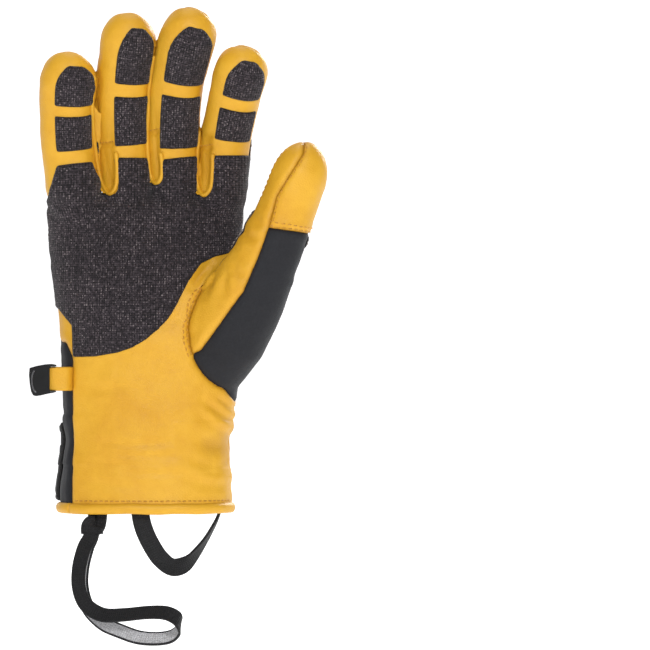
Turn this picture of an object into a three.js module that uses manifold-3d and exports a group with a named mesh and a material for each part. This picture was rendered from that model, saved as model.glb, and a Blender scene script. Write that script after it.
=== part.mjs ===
// Right-hand climbing glove, fingers up (+Z), palm towards -Y, thumb towards +X.
// The origin is the centre of the cuff's mouth. Sizes are in millimetres.
import * as THREE from 'three';
import { mergeVertices } from 'three/addons/utils/BufferGeometryUtils.js';
import Module from 'manifold-3d';

const wasm = await Module();
wasm.setup();

// Leather, cloth and clearances
const wall = 2;
const patchThickness = 1.2;
const seamGap = 0.3;
const layGap = 0.3;

// Hand, cuff and fingers: the finger sizes are the middle finger's
const handHeight = 158;
const palmWidth = 100;
const palmDepth = 44;
const fingerLength = 113;
const fingerWidth = 27.5;
const fingerDepth = 27;

// Cuff fittings
const hemHeight = 5;
const hemProud = 0.9;
const hemInside = 0.6;
const flapRise = 0.285 * handHeight;
const flapThickness = 2.4;
const loopThickness = 2;
const tabLength = 14;
const tabHeight = 12;
const tabThickness = 2.4;
const clipLength = 11;
const clipHeight = 15;
const clipThickness = 6;
const clipGrip = 2;
const clipTilt = 0.12;

// Straps
const webbing = 1.4;
const pullLoopWidth = 9;
const pullLoopDrop = 31.5;
const leashWidth = 7.5;
const leashDrop = 63;

// Facets
const digitSides = 12;
const handSides = 24;
const digitSteps = 6;

// Colours of the photograph
const gold = { color: 0xe2a634, roughness: 0.55, metalness: 0 };
const knit = { color: 0x48404a, roughness: 0.95, metalness: 0 };
const softshell = { color: 0x303036, roughness: 0.85, metalness: 0 };
const flapCloth = { color: 0x2f3133, roughness: 0.5, metalness: 0 };
const plastic = { color: 0x141416, roughness: 0.3, metalness: 0 };
const strap = { color: 0x1e1e21, roughness: 0.8, metalness: 0 };

// Sections of the hand: up is a share of handHeight, left and right of palmWidth,
// front and back of palmDepth.
const handSections = [
  { up: 0.0, left: -0.43, right: 0.43, front: -0.62, back: 0.66 },
  { up: 0.23, left: -0.41, right: 0.427, front: -0.56, back: 0.61 },
  { up: 0.39, left: -0.42, right: 0.46, front: -0.52, back: 0.62 },
  { up: 0.54, left: -0.425, right: 0.47, front: -0.48, back: 0.66 },
  { up: 0.66, left: -0.44, right: 0.455, front: -0.4, back: 0.7 },
  { up: 0.76, left: -0.465, right: 0.445, front: -0.27, back: 0.72 },
  { up: 0.88, left: -0.485, right: 0.468, front: -0.1, back: 0.72 },
  { up: 0.965, left: -0.49, right: 0.482, front: -0.01, back: 0.68 },
  { up: 1.0, left: -0.42, right: 0.4, front: 0.16, back: 0.5 },
];

// Roots of the digits as shares of palmWidth, palmDepth and handHeight, and their sizes as shares
// of the middle finger's. A digit's length is measured along its middle line.
const digitSizes = {
  little: { across: -0.335, back: 0.25, up: 0.924, length: 0.774, width: 1.018, depth: 0.926 },
  ring: { across: -0.06, back: 0.341, up: 0.924, length: 0.956, width: 1, depth: 0.963 },
  middle: { across: 0.18, back: 0.375, up: 0.924, length: 1, width: 1, depth: 1 },
  index: { across: 0.37, back: 0.318, up: 0.924, length: 0.823, width: 0.982, depth: 0.963 },
  thumb: { across: 0.26, back: 0.045, up: 0.43, length: 1.177, width: 1.2, depth: 1.148 },
};

// Bend of each digit's middle line in degrees: sideways from lean by bow, backwards from rise by curl
const digitBends = {
  little: { lean: -15, bow: 26, rise: 4, curl: 30 },
  ring: { lean: -14, bow: 29, rise: 5, curl: 34 },
  middle: { lean: -13, bow: 36, rise: 3, curl: 40 },
  index: { lean: -1, bow: 22, rise: 3, curl: 40 },
  thumb: { lean: 35, bow: -18, rise: -22, curl: -26 },
};

// Profiles of the digits: along is a share of the length, width and depth are shares of the digit's.
const fingerProfile = [
  { along: 0.0, width: 0.66, depth: 0.8 },
  { along: 0.13, width: 0.9, depth: 1.0 },
  { along: 0.22, width: 0.93, depth: 1.0 },
  { along: 0.4, width: 0.94, depth: 0.96 },
  { along: 0.65, width: 1.0, depth: 0.96 },
  { along: 0.82, width: 1.04, depth: 0.96 },
  { along: 1.0, width: 1.0, depth: 0.92 },
];
const thumbProfile = [
  { along: 0.0, width: 1.16, depth: 1.1 },
  { along: 0.2, width: 1.32, depth: 1.24 },
  { along: 0.4, width: 1.18, depth: 1.16 },
  { along: 0.54, width: 1.0, depth: 1.0 },
  { along: 0.72, width: 0.88, depth: 0.9 },
  { along: 1.0, width: 0.8, depth: 0.84 },
];

// Roundness of the tips and sections, and the length that the cutting solids reach past the glove
const domeLength = 0.55;
const domeRings = [0.45, 0.82];
const digitPower = 2.15;
const handPower = 2.3;
const clipPower = 5;
const roundedFrom = 0.9;
const reach = 120;

// Outlines on the hand: across is a share of palmWidth and up of handHeight.
const onHand = (rows) => rows.map(({ across, up }) => [across * palmWidth, up * handHeight]);

const fingerBaseLine = onHand([
  { across: -0.9, up: 1.013 },
  { across: -0.18, up: 1.019 },
  { across: 0.05, up: 1.05 },
  { across: 0.295, up: 1.019 },
  { across: 0.9, up: 1.013 },
]);
const knuckleSeam = onHand([
  { across: 0.9, up: 0.823 },
  { across: 0.23, up: 0.791 },
  { across: -0.3, up: 0.753 },
  { across: -0.4, up: 0.728 },
  { across: -0.48, up: 0.671 },
  { across: -0.9, up: 0.671 },
]);
const sideStrip = onHand([
  { across: -0.9, up: -0.2 },
  { across: -0.365, up: -0.2 },
  { across: -0.365, up: 0.49 },
  { across: -0.4, up: 0.54 },
  { across: -0.9, up: 0.54 },
]);
const cuffPanel = onHand([
  { across: 0.365, up: -0.2 },
  { across: 0.9, up: -0.2 },
  { across: 0.9, up: 0.37 },
  { across: 0.365, up: 0.36 },
]);
const slit = onHand([
  { across: 0.335, up: -0.2 },
  { across: 0.37, up: -0.2 },
  { across: 0.37, up: 0.29 },
  { across: 0.335, up: 0.29 },
]);
const slitLoop = onHand([
  { across: 0.4, up: 0.36 },
  { across: 0.33, up: 0.352 },
  { across: 0.285, up: 0.324 },
  { across: 0.265, up: 0.295 },
  { across: 0.31, up: 0.295 },
  { across: 0.325, up: 0.312 },
  { across: 0.35, up: 0.322 },
  { across: 0.4, up: 0.322 },
]);
const palmPatchFront = onHand([
  { across: -0.445, up: 1.101 },
  { across: -0.275, up: 1.114 },
  { across: -0.23, up: 1.03 },
  { across: -0.178, up: 1.008 },
  { across: -0.135, up: 1.03 },
  { across: -0.16, up: 1.127 },
  { across: 0.0, up: 1.127 },
  { across: 0.02, up: 1.06 },
  { across: 0.052, up: 1.045 },
  { across: 0.085, up: 1.06 },
  { across: 0.068, up: 1.12 },
  { across: 0.25, up: 1.133 },
  { across: 0.262, up: 1.03 },
  { across: 0.295, up: 1.004 },
  { across: 0.33, up: 1.03 },
  { across: 0.338, up: 1.133 },
  { across: 0.7, up: 1.137 },
  { across: 0.7, up: 0.8 },
  { across: 0.41, up: 0.823 },
  { across: 0.34, up: 0.81 },
  { across: 0.275, up: 0.788 },
  { across: 0.22, up: 0.737 },
  { across: 0.16, up: 0.658 },
  { across: 0.075, up: 0.587 },
  { across: -0.04, up: 0.532 },
  { across: -0.21, up: 0.497 },
  { across: -0.355, up: 0.497 },
  { across: -0.365, up: 0.593 },
  { across: -0.435, up: 0.649 },
  { across: -0.56, up: 0.66 },
  { across: -0.56, up: 0.95 },
  { across: -0.508, up: 0.965 },
]);
const palmPatchBack = onHand([
  { across: 0.7, up: 1.2 },
  { across: 0.4, up: 1.19 },
  { across: 0.41, up: 1.12 },
  { across: 0.45, up: 1.044 },
  { across: 0.43, up: 1.006 },
  { across: 0.34, up: 0.994 },
  { across: 0.27, up: 0.905 },
  { across: 0.23, up: 0.772 },
  { across: 0.33, up: 0.747 },
  { across: 0.7, up: 0.8 },
]);
const thumbLeather = onHand([
  { across: 0.0, up: 0.45 },
  { across: 0.278, up: 0.513 },
  { across: 0.365, up: 0.587 },
  { across: 0.495, up: 0.7 },
  { across: 0.573, up: 0.816 },
  { across: 0.62, up: 0.9 },
  { across: 0.659, up: 1.0 },
  { across: 0.795, up: 1.136 },
  { across: 0.8, up: 1.3 },
  { across: 0.0, up: 1.3 },
]);
const thumbCapFront = onHand([
  { across: 0.62, up: 0.9 },
  { across: 0.9, up: 0.875 },
  { across: 1.1, up: 0.875 },
  { across: 1.1, up: 1.3 },
  { across: 0.8, up: 1.3 },
  { across: 0.795, up: 1.136 },
  { across: 0.659, up: 1.0 },
]);
const thumbCapBack = onHand([
  { across: 0.4, up: 1.02 },
  { across: 0.86, up: 0.87 },
  { across: 1.1, up: 0.85 },
  { across: 1.1, up: 1.3 },
  { across: 0.4, up: 1.3 },
]);
const thumbPatch = onHand([
  { across: 0.84, up: 0.866 },
  { across: 0.75, up: 0.81 },
  { across: 0.7, up: 0.762 },
  { across: 0.58, up: 0.7 },
  { across: 0.53, up: 0.677 },
  { across: 0.47, up: 0.71 },
  { across: 0.43, up: 0.8 },
  { across: 0.45, up: 0.99 },
]);

// Strip along a finger's back: backShare of its half width each way, from rootFrom of its length to
// capEnd. Its softshell runs between the shares in the table.
const backShare = 0.8;
const rootFrom = 0.06;
const capEnd = 0.985;
const backPanels = {
  little: { from: 0.46, to: 0.816 },
  ring: { from: 0.458, to: 0.794 },
  middle: { from: 0.4, to: 0.755 },
  index: { from: 0.378, to: 0.778 },
};

// Knit patches of the fingers' fronts: from and to are shares of the length, left of the half width.
// A tip patch is arched: above archFrom of its length its left edge bends over by archReach.
const patchRight = 0.93;
const archFrom = 0.45;
const archReach = 0.62;
const frontPatches = {
  little: { left: -0.36, tip: { from: 0.695, to: 0.925 }, lower: { from: 0.41, to: 0.63 } },
  ring: { left: -0.24, tip: { from: 0.665, to: 0.955 }, lower: { from: 0.37, to: 0.59 } },
  middle: { left: -0.46, tip: { from: 0.66, to: 0.945 }, lower: { from: 0.345, to: 0.575 } },
  index: { left: -0.4, tip: { from: 0.72, to: 0.965 }, lower: { from: 0.46, to: 0.65 } },
};

// Seat of the side tab: across is a share of palmWidth, up of handHeight, front of palmDepth
const tabSeat = { across: -0.34, up: 0.425, front: -0.31 };

// The sleeve holds both strands of the leash, so it is wider and thicker than its webbing.
const sleeveWide = 1.35;
const sleeveThick = 1.7;

// Straps, from end to end: across is a share of palmWidth, back of palmDepth, down of the strap's
// drop, wide and thick of its width and thickness. Its face looks turn degrees round from +X and
// lift degrees up.
const pullLoopRows = [
  { across: -0.02, back: -0.522, down: -0.32, turn: -90 },
  { across: -0.018, back: -0.52, down: 0.0, turn: -90 },
  { across: 0.0, back: -0.5, down: 0.25, turn: -90 },
  { across: 0.035, back: -0.43, down: 0.5, turn: -88 },
  { across: 0.08, back: -0.34, down: 0.72, turn: -80 },
  { across: 0.14, back: -0.24, down: 0.86, turn: -65 },
  { across: 0.21, back: -0.15, down: 0.8, turn: -45 },
  { across: 0.275, back: -0.09, down: 0.56, turn: -22 },
  { across: 0.33, back: -0.06, down: 0.28, turn: -6 },
  { across: 0.37, back: -0.04, down: 0.0, turn: 0 },
  { across: 0.381, back: -0.03, down: -0.32, turn: 0 },
];
const sleeveRows = [
  { across: -0.23, back: -0.425, down: -0.18, turn: -110, wide: 1, thick: 1 },
  { across: -0.233, back: -0.427, down: 0.0, turn: -110, wide: 1, thick: 1 },
  { across: -0.24, back: -0.435, down: 0.085, turn: -108, wide: 1, thick: 1 },
  { across: -0.258, back: -0.455, down: 0.09, turn: -106, wide: 1.1, thick: 1.9 },
  { across: -0.26, back: -0.465, down: 0.16, turn: -106, wide: 1.1, thick: 1.9 },
];
const leashRows = [
  { across: -0.272, back: -0.502, down: 0.195, turn: -104, lift: 0 },
  { across: -0.298, back: -0.53, down: 0.27, turn: -105, lift: 0 },
  { across: -0.322, back: -0.58, down: 0.42, turn: -108, lift: 0 },
  { across: -0.322, back: -0.64, down: 0.58, turn: -112, lift: 5 },
  { across: -0.285, back: -0.72, down: 0.71, turn: -118, lift: 14 },
  { across: -0.2, back: -0.83, down: 0.785, turn: -122, lift: 24 },
  { across: -0.09, back: -0.99, down: 0.778, turn: -124, lift: 30 },
  { across: 0.02, back: -1.14, down: 0.755, turn: -124, lift: 32 },
  { across: 0.11, back: -1.25, down: 0.752, turn: -112, lift: 30 },
  { across: 0.165, back: -1.28, down: 0.785, turn: -75, lift: 20 },
  { across: 0.185, back: -1.22, down: 0.835, turn: -30, lift: 8 },
  { across: 0.18, back: -1.13, down: 0.89, turn: 15, lift: -8 },
  { across: 0.14, back: -1.07, down: 0.945, turn: 42, lift: -20 },
  { across: 0.07, back: -1.02, down: 0.965, turn: 54, lift: -28 },
  { across: -0.02, back: -0.94, down: 0.958, turn: 56, lift: -30 },
  { across: -0.11, back: -0.84, down: 0.915, turn: 56, lift: -28 },
  { across: -0.2, back: -0.72, down: 0.855, turn: 58, lift: -22 },
  { across: -0.275, back: -0.62, down: 0.74, turn: 62, lift: -14 },
  { across: -0.308, back: -0.55, down: 0.59, turn: 67, lift: -5 },
  { across: -0.308, back: -0.5, down: 0.43, turn: 71, lift: 0 },
  { across: -0.285, back: -0.465, down: 0.27, turn: 74, lift: 0 },
  { across: -0.266, back: -0.448, down: 0.195, turn: 76, lift: 0 },
];

// Middle line and section of a digit

const digits = {};
for (const [name, row] of Object.entries(digitSizes)) {
  digits[name] = {
    ...digitBends[name],
    x: row.across * palmWidth,
    y: row.back * palmDepth,
    z: row.up * handHeight,
    length: row.length * fingerLength,
    width: row.width * fingerWidth,
    depth: row.depth * fingerDepth,
  };
}

function shareAt(rows, along, column) {
  const next = rows.findIndex((row) => row.along >= along);
  if (next <= 0) {
    return rows[0][column];
  }
  const low = rows[next - 1];
  const high = rows[next];
  const share = (along - low.along) / (high.along - low.along);
  return THREE.MathUtils.lerp(low[column], high[column], share);
}

function digitFrame(digit, along) {
  const pieces = 24;
  const point = new THREE.Vector3(digit.x, digit.y, digit.z);
  const direction = new THREE.Vector3();
  const heading = (share) => {
    const lean = THREE.MathUtils.degToRad(digit.lean + digit.bow * share);
    const rise = THREE.MathUtils.degToRad(digit.rise - digit.curl * share);
    direction.set(Math.sin(lean) * Math.cos(rise), Math.sin(rise), Math.cos(lean) * Math.cos(rise));
    return direction;
  };
  for (let piece = 0; piece < pieces; piece += 1) {
    const share = ((piece + 0.5) / pieces) * along;
    point.addScaledVector(heading(share), (digit.length * along) / pieces);
  }
  const ahead = heading(along).clone();
  const across = new THREE.Vector3().crossVectors(new THREE.Vector3(0, 1, 0), ahead).normalize();
  const back = new THREE.Vector3().crossVectors(ahead, across);
  return { point, ahead, across, back };
}

function domeShare(digit, along) {
  const dome = (domeLength * digit.width) / digit.length;
  const past = Math.max(0, (along - (1 - dome)) / dome);
  return Math.sqrt(Math.max(0, 1 - past * past));
}

function digitHalfSizes(digit, along) {
  const rows = digit === digits.thumb ? thumbProfile : fingerProfile;
  const dome = domeShare(digit, along);
  return {
    width: 0.5 * digit.width * shareAt(rows, along, 'width') * dome,
    depth: 0.5 * digit.depth * shareAt(rows, along, 'depth') * dome,
  };
}

// Closed solids

function superellipse(angle, power) {
  const round = (value) => Math.sign(value) * Math.abs(value) ** (2 / power);
  return { across: round(Math.cos(angle)), back: round(Math.sin(angle)) };
}

function solidOf(geometry) {
  geometry.deleteAttribute('normal');
  geometry.deleteAttribute('uv');
  const merged = mergeVertices(geometry, 1e-4);
  return new wasm.Manifold(new wasm.Mesh({
    numProp: 3,
    vertProperties: new Float32Array(merged.attributes.position.array),
    triVerts: new Uint32Array(merged.index.array),
  }));
}

// A loft through rings of equally many points, closed at each end by a fan round its own point.
function loft(rings, first, last) {
  const count = rings[0].length;
  const points = [first, ...rings.flat(), last];
  const end = points.length - 1;
  const index = [];
  for (let side = 0; side < count; side += 1) {
    const next = (side + 1) % count;
    index.push(0, 1 + next, 1 + side);
    for (let ring = 0; ring < rings.length - 1; ring += 1) {
      const a = 1 + ring * count + side;
      const b = 1 + ring * count + next;
      index.push(a, b, b + count, a, b + count, a + count);
    }
    const top = 1 + (rings.length - 1) * count;
    index.push(end, top + side, top + next);
  }
  const geometry = new THREE.BufferGeometry();
  const values = points.flatMap((point) => point.toArray());
  geometry.setAttribute('position', new THREE.Float32BufferAttribute(values, 3));
  geometry.setIndex(index);
  return solidOf(geometry);
}

// The whole digit, grown by offset. A side of 1 keeps its back half only and -1 its front half,
// up to the distance past from the plane of its middle line.
function digitSolid(digit, offset, side = 0, past = 0) {
  const dome = (domeLength * digit.width) / digit.length;
  const alongs = [];
  for (let step = 0; step < digitSteps; step += 1) {
    alongs.push(((1 - dome) * step) / (digitSteps - 1));
  }
  for (const share of domeRings) {
    alongs.push(1 - dome + dome * share);
  }
  const rings = alongs.map((along) => {
    const frame = digitFrame(digit, along);
    const half = digitHalfSizes(digit, along);
    const ring = [];
    for (let step = 0; step < digitSides; step += 1) {
      const turn = superellipse((2 * Math.PI * step) / digitSides, digitPower);
      const depth = turn.back * (half.depth + offset);
      const back = side === 0 ? depth : side * Math.max(side * depth, past);
      ring.push(frame.point.clone()
        .addScaledVector(frame.across, turn.across * (half.width + offset))
        .addScaledVector(frame.back, back));
    }
    return ring;
  });
  const root = digitFrame(digit, 0);
  const tip = digitFrame(digit, 1);
  return loft(rings, root.point, tip.point.addScaledVector(tip.ahead, offset));
}

function handRing(row, offset, height) {
  const left = row.left * palmWidth - offset;
  const right = row.right * palmWidth + offset;
  const front = row.front * palmDepth - offset;
  const back = row.back * palmDepth + offset;
  const ring = [];
  for (let step = 0; step < handSides; step += 1) {
    const turn = superellipse((2 * Math.PI * step) / handSides, handPower);
    ring.push(new THREE.Vector3(
      (left + right) / 2 + (turn.across * (right - left)) / 2,
      (front + back) / 2 + (turn.back * (back - front)) / 2,
      height,
    ));
  }
  return ring;
}

function middleOf(ring) {
  const sum = ring.reduce((total, point) => total.add(point), new THREE.Vector3());
  return sum.divideScalar(ring.length);
}

// The hand and cuff, grown by offset, with its lowest ring moved down by below.
function handSolid(offset, below = 0) {
  const rings = handSections.map((row) => {
    const rise = row.up > roundedFrom ? offset : 0;
    return handRing(row, offset, row.up === 0 ? -below : row.up * handHeight + rise);
  });
  return loft(rings, middleOf(rings[0]), middleOf(rings[rings.length - 1]));
}

function joined(solids) {
  return solids.reduce((whole, solid) => whole.add(solid));
}

function gloveSolid(offset, names, below = 0) {
  return joined([handSolid(offset, below), ...names.map((name) => digitSolid(digits[name], offset))]);
}

// Outlines in x and z, and what they cut from front to back

function grown(points, by) {
  const area = THREE.ShapeUtils.area(points.map(([x, z]) => new THREE.Vector2(x, z)));
  const out = Math.sign(area) * by;
  return points.map((point, index) => {
    const before = points[(index + points.length - 1) % points.length];
    const after = points[(index + 1) % points.length];
    const first = new THREE.Vector2(point[1] - before[1], before[0] - point[0]).normalize();
    const second = new THREE.Vector2(after[1] - point[1], point[0] - after[0]).normalize();
    const miter = first.clone().add(second).normalize();
    const shift = out / Math.max(0.5, miter.dot(first));
    return [point[0] + miter.x * shift, point[1] + miter.y * shift];
  });
}

function prism(points, by = 0, front = -reach, back = reach) {
  const shape = new THREE.Shape(grown(points, by).map(([x, z]) => new THREE.Vector2(x, z)));
  const geometry = new THREE.ExtrudeGeometry(shape, { depth: back - front, bevelEnabled: false });
  geometry.rotateX(Math.PI / 2);
  geometry.translate(0, back, 0);
  return solidOf(geometry);
}

// Everything in front of the hand's widest line, up to the distance past from it.
function frontHalf(past) {
  const middle = handSections.map((row) => [
    ((row.front + row.back) * palmDepth) / 2 + past,
    row.up * handHeight,
  ]);
  const [low] = middle;
  const high = middle[middle.length - 1];
  const outline = [[-reach, -reach], [low[0], -reach], ...middle, [high[0], handHeight + reach]];
  outline.push([-reach, handHeight + reach]);
  const shape = new THREE.Shape(outline.map(([y, z]) => new THREE.Vector2(y, z)));
  const geometry = new THREE.ExtrudeGeometry(shape, { depth: 2 * reach, bevelEnabled: false });
  const axes = [new THREE.Vector3(0, 1, 0), new THREE.Vector3(0, 0, 1), new THREE.Vector3(1, 0, 0)];
  geometry.applyMatrix4(new THREE.Matrix4().makeBasis(...axes));
  geometry.translate(-reach, 0, 0);
  return solidOf(geometry);
}

// A band of a digit between two shares of its length. left and right are shares of its half width.
// An arched band has its left edge bent over at the top.
function bandOutline(digit, { from, to, left, right, arched = false }) {
  const steps = arched ? 4 : 3;
  const side = (share, bend) => {
    const points = [];
    for (let step = 0; step <= steps; step += 1) {
      const up = step / steps;
      const along = THREE.MathUtils.lerp(from, to, up);
      const { point, across } = digitFrame(digit, along);
      const past = Math.max(0, (up - archFrom) / (1 - archFrom));
      const bent = share + bend * (right - left) * (1 - Math.sqrt(1 - past * past));
      const reachOut = bent * digitHalfSizes(digit, along).width;
      points.push([point.x + across.x * reachOut, point.z + across.z * reachOut]);
    }
    return points;
  };
  return [...side(left, arched ? archReach : 0), ...side(right, 0).reverse()];
}

// Pieces of the group

const glove = new THREE.Group();

// The largest body of a cut, without the slivers that it leaves at a tip or a corner.
function largest(solid) {
  const bodies = solid.decompose();
  return bodies.reduce((best, body) => (body.volume() > best.volume() ? body : best));
}

function addPiece(name, solid, look) {
  const { vertProperties, triVerts } = largest(solid).getMesh();
  const geometry = new THREE.BufferGeometry();
  geometry.setAttribute('position', new THREE.BufferAttribute(vertProperties, 3));
  geometry.setIndex(new THREE.BufferAttribute(triVerts, 1));
  geometry.computeVertexNormals();
  const mesh = new THREE.Mesh(geometry, new THREE.MeshStandardMaterial(look));
  mesh.name = name;
  glove.add(mesh);
}

// The leather and cloth shell

const fingerNames = ['little', 'ring', 'middle', 'index'];
const halfGap = seamGap / 2;
const hollow = gloveSolid(-wall, Object.keys(digits), wall);
const farTop = handHeight + 2 * reach;
const aboveHem = prism([[-reach, hemHeight], [reach, hemHeight], [reach, farTop], [-reach, farTop]]);
const shell = gloveSolid(0, fingerNames).subtract(hollow).intersect(aboveHem);
const fingersZone = [...fingerBaseLine, [reach, farTop], [-reach, farTop]];
const knuckleZone = [...knuckleSeam, ...fingerBaseLine];

// The strip of each finger's back is knuckle leather at its root, then softshell, then the cap.
const stripRise = 1;
const backStrips = {};
for (const name of fingerNames) {
  const digit = digits[name];
  const row = backPanels[name];
  const sides = { left: -backShare, right: backShare };
  const strip = {
    root: bandOutline(digit, { from: rootFrom, to: row.from, ...sides }),
    panel: bandOutline(digit, { from: row.from, to: row.to, ...sides }),
    cap: bandOutline(digit, { from: row.to, to: capEnd, ...sides }),
  };
  const back = digitSolid(digit, stripRise, 1, 0);
  backStrips[name] = { digit, back, ...strip };
}

const rootZone = (by) => joined(fingerNames.map((name) => {
  const strip = backStrips[name];
  return strip.back.intersect(prism(strip.root, by));
}));
const knuckleSolid = (by) => prism(knuckleZone, by).subtract(frontHalf(-by)).add(rootZone(by));
const stripZone = (by) => prism(sideStrip, by);
const palmZone = (by) => frontHalf(by).subtract(stripZone(-by));
const cuffZone = (by) => prism(cuffPanel, by).subtract(frontHalf(-by));
const handShell = shell.subtract(prism(fingersZone, 0));

addPiece('knuckle_panel', shell.intersect(knuckleSolid(-halfGap)), gold);
addPiece('palm_leather', handShell.intersect(palmZone(-halfGap)).subtract(knuckleSolid(halfGap)), gold);
addPiece('cuff_thumb_panel', handShell.intersect(cuffZone(-halfGap)), gold);
addPiece('back_softshell', handShell.subtract(palmZone(halfGap)).subtract(knuckleSolid(halfGap))
  .subtract(cuffZone(halfGap)).subtract(prism(slit)), softshell);

// Fingers

let neighbour = null;
for (const name of fingerNames) {
  const { digit, back, root, panel, cap } = backStrips[name];
  let tube = digitSolid(digit, 0).subtract(hollow).intersect(prism(fingersZone, -seamGap));
  if (neighbour) {
    tube = tube.subtract(digitSolid(neighbour, seamGap));
  }
  neighbour = digit;
  const zones = [root, panel, cap].map((outline) => back.intersect(prism(outline, halfGap)));
  addPiece(`${name}_leather`, tube.subtract(joined(zones)), gold);
  addPiece(`${name}_back_panel`, tube.intersect(back).intersect(prism(panel, -halfGap)), softshell);
  addPiece(`${name}_cap`, tube.intersect(back).intersect(prism(cap, -halfGap)), gold);
  const cover = digitSolid(digit, layGap + patchThickness, -1, 0).subtract(digitSolid(digit, layGap));
  for (const place of ['tip', 'lower']) {
    const edges = { left: frontPatches[name].left, right: patchRight, arched: place === 'tip' };
    const outline = bandOutline(digit, { ...frontPatches[name][place], ...edges });
    addPiece(`${name}_${place}_patch`, cover.intersect(prism(outline)), knit);
  }
}

// Thumb

const { thumb } = digits;
const thumbRise = 3;
const palmSide = (by) => digitSolid(thumb, thumbRise, -1, -by);
const backSide = (by) => digitSolid(thumb, thumbRise, 1, -by);
const thumbTube = digitSolid(thumb, 0).subtract(hollow).subtract(gloveSolid(seamGap, fingerNames));
const thumbLeatherZone = (by) => palmSide(by).intersect(prism(thumbLeather, by));
const thumbCapZone = (by) => palmSide(layGap).intersect(prism(thumbCapFront, by))
  .add(backSide(by).intersect(prism(thumbCapBack, by)));
addPiece('thumb_leather', thumbTube.intersect(thumbLeatherZone(-halfGap)), gold);
addPiece('thumb_cap', thumbTube.intersect(thumbCapZone(-halfGap)), gold);
addPiece('thumb_softshell', thumbTube.subtract(thumbLeatherZone(halfGap))
  .subtract(thumbCapZone(halfGap)), softshell);
const thumbCover = digitSolid(thumb, layGap + patchThickness, 1, 0).subtract(digitSolid(thumb, layGap));
const handClear = gloveSolid(layGap + patchThickness + seamGap, fingerNames);
addPiece('thumb_patch', thumbCover.intersect(prism(thumbPatch)).subtract(handClear), knit);

// Palm patch, in front and round the index side

const lap = 1;
const behind = (outline, by = 0) => prism(outline, by).subtract(frontHalf(-lap));
const patchZone = frontHalf(0).intersect(prism(palmPatchFront)).add(behind(palmPatchBack));
const palmCover = gloveSolid(layGap + patchThickness, fingerNames).subtract(gloveSolid(layGap, fingerNames));
addPiece('palm_patch', palmCover.intersect(patchZone).subtract(digitSolid(thumb, seamGap)), knit);

// Hems, closure flap and the loop over the slit

const hemTop = hemHeight - seamGap;
const belowShell = [[-reach, -reach], [reach, -reach], [reach, hemTop], [-reach, hemTop]];
const hem = handSolid(hemProud).subtract(handSolid(-wall - hemInside, wall)).intersect(prism(belowShell));
const hemFront = (by) => palmZone(by).add(behind(cuffPanel, by));
addPiece('palm_hem', hem.intersect(hemFront(-halfGap)), gold);
addPiece('back_hem', hem.subtract(hemFront(halfGap)).subtract(prism(slit)), gold);

const handCover = (thickness) => handSolid(layGap + thickness).subtract(handSolid(layGap))
  .subtract(frontHalf(lap));
const slitLeft = slit[0][0];
const flap = [[-reach, hemHeight], [slitLeft, hemHeight], [slitLeft, flapRise], [-reach, flapRise]];
addPiece('closure_flap', handCover(flapThickness).intersect(prism(flap)), flapCloth);
addPiece('slit_loop', handCover(loopThickness).intersect(prism(slitLoop)), gold);

// Side tab with its clip, on the seam of the little finger's side

const tabRight = tabSeat.across * palmWidth;
const tabBack = tabSeat.front * palmDepth;
const tabMiddle = tabSeat.up * handHeight;

function block(length, thickness, height, x, y, z) {
  const geometry = new THREE.BoxGeometry(length, thickness, height);
  geometry.translate(x, y, z);
  return solidOf(geometry);
}

const tabCentre = [tabRight - tabLength / 2, tabBack - tabThickness / 2, tabMiddle];
const tabBlock = (by) => block(tabLength + 2 * by, tabThickness + 2 * by, tabHeight + 2 * by, ...tabCentre);
addPiece('side_tab', tabBlock(0).subtract(handSolid(layGap)), gold);

const clipSides = 16;
const clipMiddle = tabRight - tabLength - clipLength / 2 + clipGrip;
const clipOutline = [];
for (let side = 0; side < clipSides; side += 1) {
  const turn = superellipse((2 * Math.PI * side) / clipSides, clipPower);
  const up = (turn.back * clipHeight) / 2;
  clipOutline.push([clipMiddle + (turn.across * clipLength) / 2 + up * clipTilt, tabMiddle + up]);
}
const clipFront = tabCentre[1] - clipThickness / 2;
const clipBody = prism(clipOutline, 0, clipFront, clipFront + clipThickness);
addPiece('side_clip', clipBody.subtract(tabBlock(layGap)), plastic);

// Ribbons along rows of a table

function ribbon(rows, drop, width, thickness) {
  const points = rows.map((row) => new THREE.Vector3(
    row.across * palmWidth,
    row.back * palmDepth,
    -row.down * drop,
  ));
  const curve = new THREE.CatmullRomCurve3(points);
  const rings = points.map((point, index) => {
    const { turn, lift = 0, wide = 1, thick = 1 } = rows[index];
    const ahead = curve.getTangent(index / (points.length - 1));
    const round = THREE.MathUtils.degToRad(turn);
    const tilt = THREE.MathUtils.degToRad(lift);
    const level = new THREE.Vector3(Math.cos(round), Math.sin(round), 0);
    const face = level.multiplyScalar(Math.cos(tilt)).setZ(Math.sin(tilt));
    const side = new THREE.Vector3().crossVectors(face, ahead).normalize();
    const out = new THREE.Vector3().crossVectors(ahead, side);
    const corners = [[1, 1], [-1, 1], [-1, -1], [1, -1]];
    return corners.map(([across, up]) => point.clone()
      .addScaledVector(side, (across * wide * width) / 2)
      .addScaledVector(out, (up * thick * thickness) / 2));
  });
  return loft(rings, points[0], points[points.length - 1]);
}

addPiece('pull_loop', ribbon(pullLoopRows, pullLoopDrop, pullLoopWidth, webbing), strap);
addPiece('leash_loop', ribbon(leashRows, leashDrop, leashWidth, webbing), strap);
const sleeveWidth = leashWidth * sleeveWide;
addPiece('leash_sleeve', ribbon(sleeveRows, leashDrop, sleeveWidth, webbing * sleeveThick), strap);

export default glove;
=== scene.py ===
import math

import bpy
import numpy as np
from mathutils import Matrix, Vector, noise
from mathutils.bvhtree import BVHTree
from mathutils.kdtree import KDTree


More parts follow.
